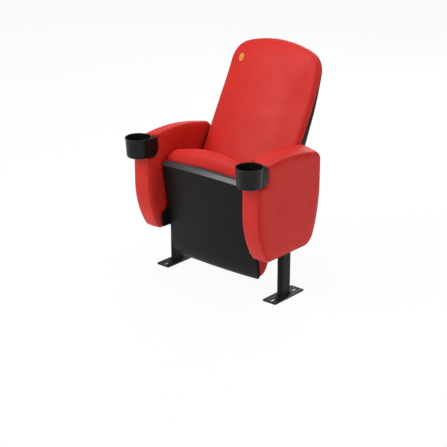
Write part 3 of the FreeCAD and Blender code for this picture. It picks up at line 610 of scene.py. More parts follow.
def back_grid(back):
    """Rings from the middle of the front panel over the edge and side band to the middle of the rear."""
    outline = back_curve(back)
    heart = np.array([0, back.spine / 2])
    share = 1 - np.linspace(1, 0, 46)[:-1] ** 2.0
    face = heart + share[1:, None, None] * (outline - heart)
    depth = distance_to(face, outline)
    front = spine_place(back, face[..., 0], face[..., 1], back_front(back, face[..., 0], face[..., 1], depth))
    fall = np.linspace(0, 1, 9)[1:, None]
    swell = 1 + 0.010 * np.sin(math.pi * fall)
    rim = heart + swell[..., None] * (outline - heart)
    sunk = -back.edge_roll - fall * (back.gusset - back.edge_roll)
    band = spine_place(back, rim[..., 0], rim[..., 1], sunk)
    shut = heart + np.array([0.97, 0.85, 0.6, 0.3])[:, None, None] * (outline - heart)
    rear = spine_place(back, shut[..., 0], shut[..., 1], np.full(shut.shape[:2], -back.gusset))
    return np.vstack([front, band, rear])


def back_seam(back, inset):
    """A path round the front panel at that distance from its edge, and the way out of the panel."""
    outline = back_curve(back, 520)
    inwards = inward(outline, np.array([0, back.spine / 2]))
    path = eased(outline + inset * inwards, 3)
    x, s = path.T
    height = back_front(back, x, s, np.full(len(path), inset))
    places = spine_place(back, x, s, height)
    step = 0.01
    ahead = spine_place(back, x, s, height + step) - places
    beside = spine_place(back, x - inwards[:, 0] * step, s - inwards[:, 1] * step, height) - places
    lean = max(0, 1 - inset / back.edge_roll)
    return places, (ahead + lean * beside) / step


def shell_edge_depth(back, s):
    """Depth of the rear shell's side: even at the shoulders, and evenly deeper down to between the arms."""
    return back.shell_edge + back.shell_flare * np.clip((FLARE_END - s) / FLARE_RUN, 0, 1)


def back_shell_grid(back):
    """Rings round the rear shell's cross-section, from its foot to its top.

    A section runs along the front plane, round the side and over a parabola that stands out to the rear.
    """
    s = back.spine * (0.5 - 0.5 * np.cos(np.linspace(0.03, 0.992, 96) * math.pi))
    half = back_half_width(back, s) - SHELL_GAP
    edge = shell_edge_depth(back, s)
    middle = back.spine / 2
    bulge = (back.shell_bulge + back.shell_edge - edge) * (1 - np.abs((s - middle) / middle) ** 4)
    across = np.linspace(-1, 1, 61)
    rear = -edge[:, None] - bulge[:, None] * (1 - across**2)
    ring = np.array([cross_section(across, *row, 0.0, 260, 5) for row in zip(rear, half)])
    depth = np.minimum(ring[..., 1], -SHELL_GAP) - back.gusset
    grid = spine_place(back, ring[..., 0], np.broadcast_to(s[:, None], depth.shape), depth)
    grid[..., 2] = np.maximum(grid[..., 2], back.shell_floor)
    return grid


class SEAT_OT_backrest(bpy.types.Operator):
    """Make the back cushion with its seams, and the moulded shell behind it"""

    bl_idname = "seat.backrest"
    bl_label = "Backrest"

    def execute(self, context):
        back = sizes("back")
        skin = leatherette()
        cushion = surface("back_cushion_cover", back_grid(back), "base")
        plump(cushion, hold=back_held, cap=0.005, voxel=0.006)
        seam, out = back_seam(back, 2.6 * MM)
        press_furrow(cushion, seam, depth=0.0022, width=0.0040)
        cushion.data.materials.append(skin)
        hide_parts("back_cushion")
        seam, out = settled(cushion, seam, out, lift=0.0002)
        welt("back_welt", seam, out, 1.8 * MM, "base", skin)
        row, out = settled(cushion, *back_seam(back, 8.5 * MM), lift=0.0002)
        stitches("back_stitches", row, out, 5.4 * MM, "base", sewing_thread())
        shell = surface("back_shell_moulding", back_shell_grid(back), "base", moulding())
        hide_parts("back_shell")
        return {"FINISHED"}


# Seat

LEAN = math.radians(9.0)
REAR_POINTS = 30
SIDE_POINTS = 58
NOSE_POINTS = 42
EAR_S = 0.224
EAR_T = 0.042
EAR_RADIUS = 0.041
EAR_EASE = 0.012
HINGE_PLATE_X = 0.2172
TRAY_PAST_SHELL = 0.003
SEAM_LEVEL = -5
EARS_OVER_RIM = 0.0004


def pan_place(pan, x, s, t):
    """From the pan's own sizes to the tipped seat: s along the pan, t up from its underside."""
    y = pan.foot_y - s * math.sin(LEAN) + t * math.cos(LEAN)
    z = pan.foot_z + s * math.cos(LEAN) + t * math.sin(LEAN)
    return np.stack([x + 0 * y, y + POST_Y, z], axis=-1)


def pan_coordinates(pan, points):
    """The other way round: from the seat to x, s and t."""
    y = points[:, 1] - POST_Y - pan.foot_y
    z = points[:, 2] - pan.foot_z
    return points[:, 0], z * math.cos(LEAN) - y * math.sin(LEAN), z * math.sin(LEAN) + y * math.cos(LEAN)


def quarter(x, s, radius, start, count):
    """A quarter circle round x and s, from its start in degrees."""
    turn = np.radians(np.linspace(start, start + 90, count))
    return np.column_stack([x + radius * np.cos(turn), s + radius * np.sin(turn)])


def pan_ring(rear, front, half, rear_radius, front_radius, arch):
    """One level of the cushion: round corners and a front that arches forward by a parabola.

    Each stretch has the same number of points at every level, so that the levels join up.
    """
    corner = front - arch
    rear_x, rear_s = half - rear_radius, rear + rear_radius
    front_x, front_s = half - front_radius, corner - front_radius
    across = np.linspace(-1, 1, NOSE_POINTS + 2)[1:-1]
    along_rear = np.linspace(-1, 1, REAR_POINTS + 2)[1:-1] * rear_x
    run = np.linspace(rear_s, front_s, SIDE_POINTS + 2)[1:-1]
    return np.vstack(
        [
            np.column_stack([along_rear, np.full(REAR_POINTS, rear)]),
            quarter(rear_x, rear_s, rear_radius, -90, 10),
            np.column_stack([np.full(SIDE_POINTS, half), run]),
            quarter(front_x, front_s, front_radius, 0, 14),
            np.column_stack([-across * front_x, corner + arch * (1 - across**2)]),
            quarter(-front_x, front_s, front_radius, 90, 14),
            np.column_stack([np.full(SIDE_POINTS, -half), run[::-1]]),
            quarter(-rear_x, rear_s, rear_radius, 180, 10),
        ]
    )


def pan_levels(pan):
    """The cushion's levels: height over its base, then rear, front, half width, corner radii and arch."""
    front, half, arch = pan.cushion, pan.half_width, pan.arch
    rise = pan.top - pan.rim
    return np.array(
        [
            (0.000, 0.008, front - 0.070, half - 0.004, 0.020, 0.024, 0.006),
            (0.006, 0.005, front - 0.044, half - 0.001, 0.022, 0.032, 0.010),
            (0.014, 0.004, front - 0.024, half, 0.025, 0.040, 0.014),
            (0.026, 0.006, front - 0.008, half, 0.029, 0.048, arch - 0.006),
            (0.038, 0.013, front - 0.001, half, 0.033, 0.053, arch - 0.001),
            (0.048, 0.022, front, half, 0.036, 0.056, arch),
            (rise - 0.025, 0.036, front - 0.006, half - 0.002, 0.042, 0.060, arch),
            (rise - 0.016, 0.050, front - 0.018, half - 0.006, 0.046, 0.061, arch - 0.002),
            (rise - 0.009, 0.072, front - 0.034, half - 0.013, 0.048, 0.062, arch - 0.004),
            (rise - 0.004, 0.098, front - 0.054, half - 0.024, 0.050, 0.062, arch - 0.006),
            (rise - 0.001, 0.130, front - 0.080, half - 0.040, 0.050, 0.062, arch - 0.008),
            (rise + 0.001, 0.180, front - 0.125, half - 0.080, 0.050, 0.060, arch - 0.012),
        ]
    )


def pan_grid(pan):
    """Rings from the middle of the cushion's base, up its sides and nose, to the middle of its top.

    Between the levels of the table every size follows the cubic through them.
    """
    table = pan_levels(pan)
    level = np.linspace(0, len(table) - 1, 58)
    smooth = spline(np.arange(len(table)), table, level)
    rings = np.array([pan_ring(*row[1:]) for row in smooth])
    base_t = pan.rim + 0.0006
    body = pan_place(pan, rings[..., 0], rings[..., 1], base_t + smooth[:, :1] + 0 * rings[..., 0])
    heart = np.array([0, pan.cushion / 2])
    shrink = np.linspace(0, 1, 9)[1:-1]
    shut = heart + shrink[:, None, None] * (rings[0] - heart)
    base = pan_place(pan, shut[..., 0], shut[..., 1], np.full(shut.shape[:2], base_t))
    high = rings[-1].mean(0)
    closing = high + shrink[::-1, None, None] * (rings[-1] - high)
    crown = base_t + table[-1, 0] + 0.003 * (1 - shrink[::-1, None] ** 2)
    top = pan_place(pan, closing[..., 0], closing[..., 1], crown + 0 * closing[..., 0])
    return np.vstack([base, body, top])


def dent_for_hinges(pan, cushion):
    """Draws the cushion's sides in round the shell's ears, as far as the hinge plates, over an easy edge.

    Above the ear's centre the gap to it is round, and below it the gap narrows by half of what it drops.
    """
    places = read(cushion.data.vertices, "co")
    x, s, t = pan_coordinates(pan, places)
    beside = np.abs(s - EAR_S)
    round_gap = np.hypot(beside, np.maximum(t - EAR_T, 0)) - EAR_RADIUS
    skirt_gap = beside - EAR_RADIUS - 0.5 * np.maximum(EAR_T - t, 0)
    clear = smooth_step(np.where(t > EAR_T, round_gap, skirt_gap), 0.0, EAR_EASE)
    reach = np.abs(x)
    places[:, 0] = np.sign(x) * np.minimum(reach, HINGE_PLATE_X + (reach - HINGE_PLATE_X) * clear)
    move_points(cushion.data, places)


def tray_front(pan):
    """Front end of the tray at the middle of its arched lip."""
    return pan.shell + TRAY_PAST_SHELL


def paint_lip_highlight(pan, tray):
    """Gives the second material, a painted highlight, to the faces of the tray's lip: those past the foot of
    its sloping face.
    """
    x, s, _ = pan_coordinates(pan, read(tray.data.polygons, "center"))
    back_by = pan.lip_arch * (x / pan.half_width) ** 2
    on_lip = s + back_by > tray_front(pan) - pan.lip + 0.0005
    tray.data.polygons.foreach_set("material_index", on_lip.astype(np.int32))


def tray_grid(pan):
    """Rings round the moulded tray's cross-section, from its turned-up rear end to its front lip.

    A section runs down one side, over a bellied underside, up the other side and back along the rim. Towards
    the front a point at x lies back by the arch times (x / half width) squared, as the nose above it does.
    """
    front, bevel = tray_front(pan), pan.lip
    table = np.array(
        [
            (0.0, 0.014, 0.0150, 0.60),
            (0.005, 0.009, 0.0115, 0.75),
            (0.014, 0.004, 0.0080, 0.90),
            (0.044, 0.000, 0.0020, 1.0),
            (0.100, 0.000, 0.0, 1.0),
            (0.250, 0.000, 0.0, 1.0),
            (front - bevel - 0.0200, 0.000, 0.0, 1.0),
            (front - bevel - 0.0030, 0.000, 0.0, 1.0),
            (front - bevel - 0.0010, 0.000, 0.0005, 1.0),
            (front - bevel + 0.0010, 0.000, 0.0020, 1.0),
            (front - 0.0030, 0.0006, bevel - 0.0012, 1.0),
            (front - 0.0010, 0.0016, bevel + 0.0012, 1.0),
            (front, 0.0030, bevel + 0.0040, 1.0),
        ]
    )
    ends = 0.05
    stretches = ((0, ends, 16), (ends, front - ends, 40), (front - ends, front, 44))
    s = np.unique(np.concatenate([np.linspace(*stretch) for stretch in stretches]))
    draw_in, rise, share = spline(table[:, 0], table[:, 1:], s).T
    across = np.linspace(-1, 1, 41)
    half = pan.half_width - draw_in
    under = rise[:, None] - share[:, None] * pan.belly * (1 - across**2)
    ring = np.array([cross_section(across, *row, pan.rim, 420, 4) for row in zip(under, half)])
    bend = pan.lip_arch * smooth_step(s, 0.60 * front, front)[:, None] * (ring[..., 0] / pan.half_width) ** 2
    return pan_place(pan, ring[..., 0], s[:, None] - bend, np.minimum(ring[..., 1], pan.rim - 0.0002))


def pan_seam(pan, cushion, inset):
    """A path round the cushion's top edge, that far in from it, dropped on the cushion, and its normals."""
    height, rear, front, half, *corners = pan_levels(pan)[SEAM_LEVEL]
    ring = even(pan_ring(rear + inset, front - inset, half - inset, *corners), 460)
    path = pan_place(pan, ring[:, 0], ring[:, 1], np.full(len(ring), pan.rim + height))
    up = pan_place(pan, 0.0, 0.0, 1.0) - pan_place(pan, 0.0, 0.0, 0.0)
    return settled(cushion, path, np.broadcast_to(up, path.shape), lift=0.0001)


class SEAT_OT_seat(bpy.types.Operator):
    """Make the seat cushion with its seams, and the moulded tray with its hinge ears under it"""

    bl_idname = "seat.seat"
    bl_label = "Seat"

    def execute(self, context):
        pan = sizes("pan")
        cushion = surface("seat_cushion_cover", pan_grid(pan), "seat")
        plump(cushion, hold=pan_held, cap=0.004, voxel=0.006)
        dent_for_hinges(pan, cushion)
        cushion.data.materials.append(leatherette())
        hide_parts("seat_cushion")
        press_furrow(cushion, pan_seam(pan, cushion, 0.0)[0], depth=0.0016, width=0.0030)
        path, out = pan_seam(pan, cushion, 0.005)
        stitches("seat_stitches", path, out, 5.4 * MM, "seat", sewing_thread())
        tray = surface("seat_tray", tray_grid(pan), "seat", tray_moulding())
        # The lip's second material is a lighter grey: a painted highlight along the tray's lip.
        tray.data.materials.append(lip_painted_highlight())
        paint_lip_highlight(pan, tray)
        cad_part("seat_shell", "seat_tray_ears", moulding(), above_rim_of=pan)
        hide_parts("seat_shell")
        return {"FINISHED"}


# Padding and what is taken over from the frame

CLOTH_FRAMES = 20
EVENING_PASSES = 60


def back_held(points):
    """Which points of the back cushion the shell holds: those within reach of its rear plane."""
    back = sizes("back")
    s = np.linspace(0, back.spine, 200)
    spine = spine_place(back, 0 * s, s, np.full(len(s), -back.gusset))
    near = ((points[:, None, 1:] - spine[None, :, 1:]) ** 2).sum(2).argmin(1)
    rake = spine_rake(back, s[near])
    offset = points - spine[near]
    return offset[:, 2] * np.sin(rake) - offset[:, 1] * np.cos(rake) < 0.007


def pan_held(points):
    """Which points of the seat cushion the board and the tray hold: those low over its base."""
    pan = sizes("pan")
    return pan_coordinates(pan, points)[2] < pan.rim + 0.010


def plump(piece, hold, cap, voxel):
    """Fills a cushion: remeshes it, lets a cloth simulation blow it up against its seams, caps the growth.

    What is kept of the growth is its part along each point's normal, between nothing and the cap, and it is
    evened out over the surface.
    """
    remesh = piece.modifiers.new("remesh", "REMESH")
    remesh.mode = "VOXEL"
    remesh.voxel_size = voxel
    apply_modifiers(piece)
    before = read(piece.data.vertices, "co")
    pinned = np.flatnonzero(hold(before))
    group = piece.vertex_groups.new(name="held")
    group.add(pinned.tolist(), 1.0, "REPLACE")
    cloth = piece.modifiers.new("cloth", "CLOTH")
    cloth.settings.vertex_group_mass = "held"
    cloth.settings.use_pressure = True
    cloth.settings.uniform_pressure_force = 4.0
    cloth.settings.effector_weights.gravity = 0.0
    cloth.settings.quality = 4
    cloth.settings.tension_stiffness = 15
    cloth.settings.compression_stiffness = 15
    cloth.settings.shear_stiffness = 5
    cloth.settings.bending_stiffness = 0.5
    cloth.point_cache.frame_start = 1
    cloth.point_cache.frame_end = CLOTH_FRAMES
    for step in range(1, CLOTH_FRAMES + 1):
        bpy.context.scene.frame_set(step)
    view = bpy.context.evaluated_depsgraph_get()
    after = read(piece.evaluated_get(view).data.vertices, "co")
    piece.modifiers.clear()
    normals = read(piece.data.vertices, "normal")
    growth = ((after - before) * normals).sum(1)[:, None]
    growth = even_out(piece.data, np.clip(growth, 0, cap), EVENING_PASSES)
    growth[pinned] = 0
    move_points(piece.data, before + growth * normals)
    piece.vertex_groups.clear()
    bpy.context.scene.frame_set(1)
    finer = piece.modifiers.new("finer", "SUBSURF")
    finer.levels = 1
    finer.render_levels = 1
    apply_modifiers(piece)
    piece.data.polygons.foreach_set("use_smooth", np.full(len(piece.data.polygons), True))


def even_out(mesh, values, passes):
    """Values at a mesh's points, each drawn to the mean of its neighbours along the edges, so many times."""
    first, last = read(mesh.edges, "vertices", 2, np.int32).T
    count = len(values)
    near = np.bincount(first, minlength=count) + np.bincount(last, minlength=count)
    for _ in range(passes):
        total = np.empty_like(values)
        for axis in range(values.shape[1]):
            ahead = np.bincount(first, values[last, axis], count)
            total[:, axis] = ahead + np.bincount(last, values[first, axis], count)
        values = 0.4 * values + 0.6 * total / np.maximum(near, 1)[:, None]
    return values


def apply_modifiers(piece):
    """Swaps the piece's mesh for the one that its modifiers give."""
    view = bpy.context.evaluated_depsgraph_get()
    mesh = bpy.data.meshes.new_from_object(piece.evaluated_get(view))
    piece.modifiers.clear()
    piece.data = mesh


def press_furrow(piece, path, depth, width):
    """Presses a furrow along a path: each point sinks along its normal by a bell curve of its distance."""
    places = read(piece.data.vertices, "co")
    normals = read(piece.data.vertices, "normal")
    sink = depth * np.exp(-((distance_to(places, path) / width) ** 2))
    move_points(piece.data, places - normals * sink[:, None])


def settled(piece, path, outwards, lift):
    """The path with each point dropped to the nearest place on the piece's surface, and the normals there."""
    view = bpy.context.evaluated_depsgraph_get()
    tree = BVHTree.FromObject(piece, view)
    found = [tree.find_nearest(Vector(p)) for p in path]
    places = np.array([f[0] for f in found])
    normals = np.array([f[1] for f in found])
    facing = np.where((normals * outwards).sum(1) < 0, -1, 1)[:, None]
    normals = eased(normals * facing, 3)
    return eased(places, 2) + normals * lift, normals


def cut_above_rim(work, pan):
    """Of the tray as the frame has it, keeps only the ears that stand above its rim, with the cut closed."""
    corner = Vector(pan_place(pan, 0.0, 0.0, pan.rim + EARS_OVER_RIM))
    up = Vector((0, math.cos(LEAN), math.sin(LEAN)))
    whole = work.verts[:] + work.edges[:] + work.faces[:]
    cut = bmesh.ops.bisect_plane(work, geom=whole, plane_co=corner, plane_no=up, clear_inner=True)
    rims = [e for e in cut["geom_cut"] if isinstance(e, bmesh.types.BMEdge)]
    bmesh.ops.holes_fill(work, edges=rims)


def cad_part(node, name, material, above_rim_of=None, soften=0.0):
    """A copy of a CAD node with its loose triangles merged, and its edges softened where that is asked."""
    mesh = frame["nodes"][node].data.copy()
    mesh.name = name
    mesh.materials.clear()
    mesh.materials.append(material)
    work = bmesh.new()
    work.from_mesh(mesh)
    bmesh.ops.remove_doubles(work, verts=work.verts, dist=2e-6)
    if above_rim_of:
        cut_above_rim(work, above_rim_of)
    flat = math.radians(0.5)
    bmesh.ops.dissolve_limit(
        work, angle_limit=flat, verts=work.verts, edges=work.edges, use_dissolve_boundaries=False
    )
    work.to_mesh(mesh)
    work.free()
    piece = add_object(name, mesh, frame["nodes"][node]["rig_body"])
    if soften:
        bevel = piece.modifiers.new("soft_edges", "BEVEL")
        bevel.width = soften
        bevel.segments = 3
        bevel.limit_method = "ANGLE"
        bevel.angle_limit = math.radians(32)
        bevel.harden_normals = True
        mesh.polygons.foreach_set("use_smooth", np.full(len(mesh.polygons), True))
    return piece


# Cups


def cup_profile(cup):
    """The cup's section, radius and height: foot, tapered wall, turned-over rim, inner wall and floor."""
    low = cup.rim_z - cup.height
    rim, base, wall = cup.rim_radius, cup.base_radius, cup.wall
    side = rim - 0.002
    outline = curve(
        (0.0, low + 0.0012),
        (base - 0.012, low + 0.0012),
        (base - 0.009, low),
        (base - 0.005, low),
        ((base - 0.0012, low + 0.0014), (base + 0.0002, low + 0.0060)),
        (base + 0.0008, low + 0.0090),
        (side, cup.rim_z - 0.0062),
        ((side + 0.0006, cup.rim_z - 0.0052), (side + 0.0014, cup.rim_z - 0.0046)),
        ((rim, cup.rim_z - 0.0022), (side + 0.0006, cup.rim_z)),
        ((side - wall + 0.0006, cup.rim_z - 0.0006), (side - wall, cup.rim_z - 0.0026)),
        (base - wall, low + 0.0100),
        ((base - wall - 0.0020, low + 0.0052), (base - wall - 0.0070, low + 0.0036)),
        (0.0, low + 0.0032),
    )
    return even(outline, 190, closed=False)[1:-1]


class SEAT_OT_cups(bpy.types.Operator):
    """Turn the cup holders from their section, and soften the blocks that hold them"""

    bl_idname = "seat.cups"
    bl_label = "Cup holders"

    def execute(self, context):
        cup = sizes("cup")
        radius, height = cup_profile(cup).T[:, :, None]
        turn = np.linspace(0, TURN, 120, endpoint=False)
        for side, sign in SIDES:
            x = sign * POST_X + radius * np.cos(turn)
            y = POST_Y + cup.middle_y + radius * np.sin(turn)
            grid = np.stack([x, y, height + 0 * x], axis=-1)
            holder = surface(f"{side}_cup", grid, "base", moulding())
            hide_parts(f"{side}_cup_holder")
            mount = cad_part(f"{side}_cup_mount", f"{side}_cup_block", moulding(), soften=2.6 * MM)
            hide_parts(f"{side}_cup_mount")
        return {"FINISHED"}


# Number plate

PLATE_FIELD = 0.865
PLATE_PROFILE = (
    (0.30, 0.35), (0.60, 0.35), (0.80, 0.35), (PLATE_FIELD, 0.36), (0.885, 0.55), (0.90, 0.85), (0.925, 1.0),
    (0.955, 1.0), (0.985, 0.8), (1.0, 0.45), (1.0, -0.6), (0.99, -1.0), (0.6, -1.0), (0.3, -1.0),
)


class SEAT_OT_number_plate(bpy.types.Operator):
    """Make the seat number plate: a bare oval with a raised edge"""

    bl_idname = "seat.number_plate"
    bl_label = "Number plate"

    def cushion_height(self, context, middle, across, up, out):
        """How far the cushion comes up over the plate's middle, by rays cast down on it from above."""
        cushion = bpy.data.objects["back_cushion_cover"]
        tree = BVHTree.FromObject(cushion, context.evaluated_depsgraph_get())
        above = 0.04
        spots = [u * across + v * up for u in (-0.008, 0, 0.008) for v in (-0.012, 0, 0.012)]
        starts = [Vector(middle + spot + above * out) for spot in spots]
        return above - min(tree.ray_cast(start, Vector(-out))[3] for start in starts)

    def execute(self, context):
        points = read(frame["nodes"]["seat_number_plate"].data.vertices, "co")
        middle = (points.max(0) + points.min(0)) / 2
        spread = np.linalg.svd(points - points.mean(0), full_matrices=False)[2]
        up, out = spread[0] * np.sign(spread[0][2]), spread[2] * -np.sign(spread[2][1])
        across = np.cross(up, out)
        local = (points - middle) @ np.column_stack([across, up, out])
        half_u, half_v, thick = local.max(0)
        rise = self.cushion_height(context, middle, across, up, out)
        middle = middle + (rise + np.abs(local[:, 2]).max() - 0.0001) * out
        outline = eased(oval(half_u, half_v, 96, 120), 1)
        rows = []
        for reach, height in PLATE_PROFILE:
            drawn_in = outline - (1 - reach) * half_u * outline / np.abs(outline).max(0)
            flat = outline * reach if reach < PLATE_FIELD else drawn_in
            rows.append(middle + flat[:, :1] * across + flat[:, 1:] * up + height * thick * out)
        plate = surface("number_plate", np.array(rows), "base", amber_plate())
        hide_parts("seat_number_plate")
        return {"FINISHED"}


# Steelwork and pivots


def weld_bead(name, sign, material):
    """A weld round the post's foot: a bead carried round the post's oval, whose radius rises and falls."""
    steps, columns, swells = 420, 12, 70
    half_u, half_v = (POST_HIGH.x - POST_LOW.x) / 2, (POST_HIGH.y - POST_LOW.y) / 2
    path = np.array([sign * POST_X, POST_Y]) + oval(half_u, half_v, 240, steps)
    out = -inward(path, path.mean(0))
    radius = 2.6 * MM * (1 + 0.10 * np.cos(np.arange(steps) / steps * TURN * swells))[:, None]
    around = np.linspace(0, TURN, columns, endpoint=False)
    grid = np.empty((steps, columns, 3))
    grid[..., :2] = path[:, None] + out[:, None] * (radius * np.cos(around))[..., None]
    grid[..., 2] = POST_LOW.z + np.maximum(radius * np.sin(around), -0.0004)
    return surface(name, grid, "base", material, ends="joined")


class SEAT_OT_steelwork(bpy.types.Operator):
    """Finish the feet, posts and brackets, and lay the welds round the posts"""

    bl_idname = "seat.steelwork"
    bl_label = "Steelwork"

    def execute(self, context):
        coat = powder_coat()
        for side, sign in SIDES:
            foot = cad_part(f"{side}_foot_plate", f"{side}_foot", coat, soften=0.9 * MM)
            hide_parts(f"{side}_foot_plate")
            weld_bead(f"{side}_post_weld", sign, coat)
            bracket = cad_part(f"{side}_back_bracket", f"{side}_back_plate", coat, soften=0.8 * MM)
            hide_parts(f"{side}_back_bracket")
            repaint(f"{side}_post", coat)
        return {"FINISHED"}


class SEAT_OT_pivots(bpy.types.Operator):
    """Finish the hinge covers, bushes, pins, plates, barrels, boards and cores"""

    bl_idname = "seat.pivots"
    bl_label = "Pivots"

    def execute(self, context):
        zinc = zinc_plate()
        nylon = plain_finish("nylon", (0.55, 0.54, 0.49), 0.45)
        rubber = plain_finish("stop_rubber", (0.016, 0.016, 0.017), 0.75)
        timber = plywood()
        for side, _ in SIDES:
            cover = cad_part(f"{side}_pivot_housing", f"{side}_hinge_cover", moulding(), soften=1.6 * MM)
            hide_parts(f"{side}_pivot_housing")
            repaint(f"{side}_pivot_bush", nylon)
            repaint(f"{side}_stop_stud", rubber)
            repaint(f"{side}_arm_core", timber)
            for node in ("hinge_plate", "pivot_pin", "spring_barrel"):
                repaint(f"{side}_{node}", zinc)
        repaint("cross_bar", zinc)
        repaint("back_board", timber)
        repaint("seat_board", timber)
        return {"FINISHED"}


def repaint(node, material):
    """Gives a CAD node its finish, in place of the plain one."""
    materials = frame["nodes"][node].data.materials
    materials.clear()
    materials.append(material)


# Materials


def new_group(name, inputs, outputs):
    """A shader node group with named inputs and outputs, and its input and output nodes."""
    tree = bpy.data.node_groups.new(name, "ShaderNodeTree")
    for label, kind, default in inputs:
        socket = tree.interface.new_socket(name=label, in_out="INPUT", socket_type=kind)
        socket.default_value = default
    for label, kind in outputs:
        tree.interface.new_socket(name=label, in_out="OUTPUT", socket_type=kind)
    return tree, tree.nodes.new("NodeGroupInput"), tree.nodes.new("NodeGroupOutput")


def feed(tree, socket, value):
    """Links a socket to another one, or sets it to a plain number or colour."""
    if isinstance(value, bpy.types.NodeSocket):
        tree.links.new(value, socket)
    else:
        socket.default_value = value


def math_node(tree, operation, *values):
    """The result of one operation on numbers or sockets."""
    node = tree.nodes.new("ShaderNodeMath")
    node.operation = operation
    for socket, value in zip(node.inputs, values):
        feed(tree, socket, value)
    return node.outputs[0]


def noise(tree, place, scale, detail=2.0, rough=0.5, distortion=0.0):
    """A cloudy value from 0 to 1 over the place."""
    node = tree.nodes.new("ShaderNodeTexNoise")
    given = {"Vector": place, "Scale": scale, "Detail": detail, "Roughness": rough, "Distortion": distortion}
    for name, value in given.items():
        feed(tree, node.inputs[name], value)
    return node.outputs["Fac"]


def cells(tree, place, scale):
    """Distance from the nearest of scattered points, with its creases smoothed."""
    node = tree.nodes.new("ShaderNodeTexVoronoi")
    node.feature = "SMOOTH_F1"
    feed(tree, node.inputs["Vector"], place)
    feed(tree, node.inputs["Scale"], scale)
    return node.outputs["Distance"]


def blend_colours(tree, share, low, high):
    """The low colour where the share is 0, going over to the high one where it is 1."""
    node = tree.nodes.new("ShaderNodeMix")
    node.data_type = "RGBA"
    for index, value in ((0, share), (6, low), (7, high)):
        feed(tree, node.inputs[index], value)
    return node.outputs[2]


def ramp(tree, value, low, high):
    """A value mapped from low..high to 0..1 and clipped."""
    node = tree.nodes.new("ShaderNodeMapRange")
    for name, given in (("Value", value), ("From Min", low), ("From Max", high)):
        feed(tree, node.inputs[name], given)
    return node.outputs["Result"]


def object_place(tree):
    """The place on the piece, in its own metres."""
    return tree.nodes.new("ShaderNodeTexCoord").outputs["Object"]


def grain_group():
    """Fine pebbled grain with pores and a soft unevenness: height, colour and roughness."""
    found = bpy.data.node_groups.get("Pebbled grain")
    if found:
        return found
    tree, given, out = new_group(
        "Pebbled grain",
        [
            ("Colour", "NodeSocketColor", (0.5, 0.5, 0.5, 1)),
            ("Worn colour", "NodeSocketColor", (0.3, 0.3, 0.3, 1)),
            ("Grain scale", "NodeSocketFloat", 700.0),
            ("Roughness", "NodeSocketFloat", 0.45),
            ("Unevenness", "NodeSocketFloat", 0.5),
        ],
        [("Colour", "NodeSocketColor"), ("Roughness", "NodeSocketFloat"), ("Height", "NodeSocketFloat")],
    )
    place = object_place(tree)
    pebbles = cells(tree, place, given.outputs["Grain scale"])
    fine = noise(tree, place, math_node(tree, "MULTIPLY", given.outputs["Grain scale"], 2.3), 2.0)
    broad = noise(tree, place, 9.0, 3.0, 0.55, 0.4)
    folds = noise(tree, place, 26.0, 2.0, 0.45, 1.2)
    height = math_node(tree, "MULTIPLY_ADD", pebbles, 0.55, math_node(tree, "MULTIPLY", fine, 0.25))
    soft = math_node(tree, "MULTIPLY", folds, math_node(tree, "MULTIPLY", given.outputs["Unevenness"], 0.9))
    tree.links.new(math_node(tree, "ADD", height, soft), out.inputs["Height"])
    share = math_node(tree, "MULTIPLY", ramp(tree, broad, 0.35, 0.75), 0.34)
    pores = math_node(tree, "MULTIPLY", ramp(tree, pebbles, 0.45, 0.75), 0.16)
    worn = math_node(tree, "ADD", share, pores)
    tint = blend_colours(tree, worn, given.outputs["Colour"], given.outputs["Worn colour"])
    tree.links.new(tint, out.inputs["Colour"])
    smoother = math_node(tree, "ADD", given.outputs["Roughness"], -0.08)
    rough = math_node(tree, "MULTIPLY_ADD", broad, 0.16, smoother)
    tree.links.new(rough, out.inputs["Roughness"])
    return tree


def scuff_group():
    """Handling marks and settled dust: a lighter, rougher finish in thin streaks and near the floor."""
    found = bpy.data.node_groups.get("Scuffs and dust")
    if found:
        return found
    tree, given, out = new_group(
        "Scuffs and dust",
        [
            ("Colour", "NodeSocketColor", (0.01, 0.01, 0.01, 1)),
            ("Roughness", "NodeSocketFloat", 0.4),
            ("Amount", "NodeSocketFloat", 0.3),
        ],
        [("Colour", "NodeSocketColor"), ("Roughness", "NodeSocketFloat")],
    )
    place = object_place(tree)
    apart = tree.nodes.new("ShaderNodeSeparateXYZ")
    tree.links.new(place, apart.inputs[0])
    low = math_node(tree, "SUBTRACT", 1.0, ramp(tree, apart.outputs["Z"], 0.0, 0.10))
    streaks = ramp(tree, noise(tree, place, 38.0, 6.0, 0.7, 1.5), 0.60, 0.78)
    marks = math_node(tree, "MULTIPLY", streaks, given.outputs["Amount"])
    dust = math_node(tree, "MULTIPLY", math_node(tree, "MULTIPLY", low, noise(tree, place, 120.0, 4.0)), 0.05)
    share = math_node(tree, "ADD", math_node(tree, "MULTIPLY", marks, 0.05), dust)
    dusty = blend_colours(tree, share, given.outputs["Colour"], (0.30, 0.29, 0.28, 1))
    tree.links.new(dusty, out.inputs["Colour"])
    rough = math_node(tree, "MULTIPLY_ADD", marks, 0.30, given.outputs["Roughness"])
    tree.links.new(math_node(tree, "ADD", rough, dust), out.inputs["Roughness"])
    return tree


def new_material(name):
    """A material and its Principled BSDF. The second value is None where the material is already made."""
    found = bpy.data.materials.get(name)
    if found:
        return found, None
    material = bpy.data.materials.new(name)
    material.use_nodes = True
    return material, material.node_tree.nodes["Principled BSDF"]


def place_group(tree, group, values):
    """The node group set in a tree, with its inputs at those values."""
    node = tree.nodes.new("ShaderNodeGroup")
    node.node_tree = group
    for name, value in values.items():
        node.inputs[name].default_value = value if isinstance(value, float) else (*value, 1.0)
    return node


def add_bump(tree, shader, height, strength, distance):
    """Shades the finish as if it rose by that height, one at the height standing for the distance."""
    bump = tree.nodes.new("ShaderNodeBump")
    bump.inputs["Strength"].default_value = strength
    bump.inputs["Distance"].default_value = distance
    tree.links.new(height, bump.inputs["Height"])
    tree.links.new(bump.outputs["Normal"], shader.inputs["Normal"])


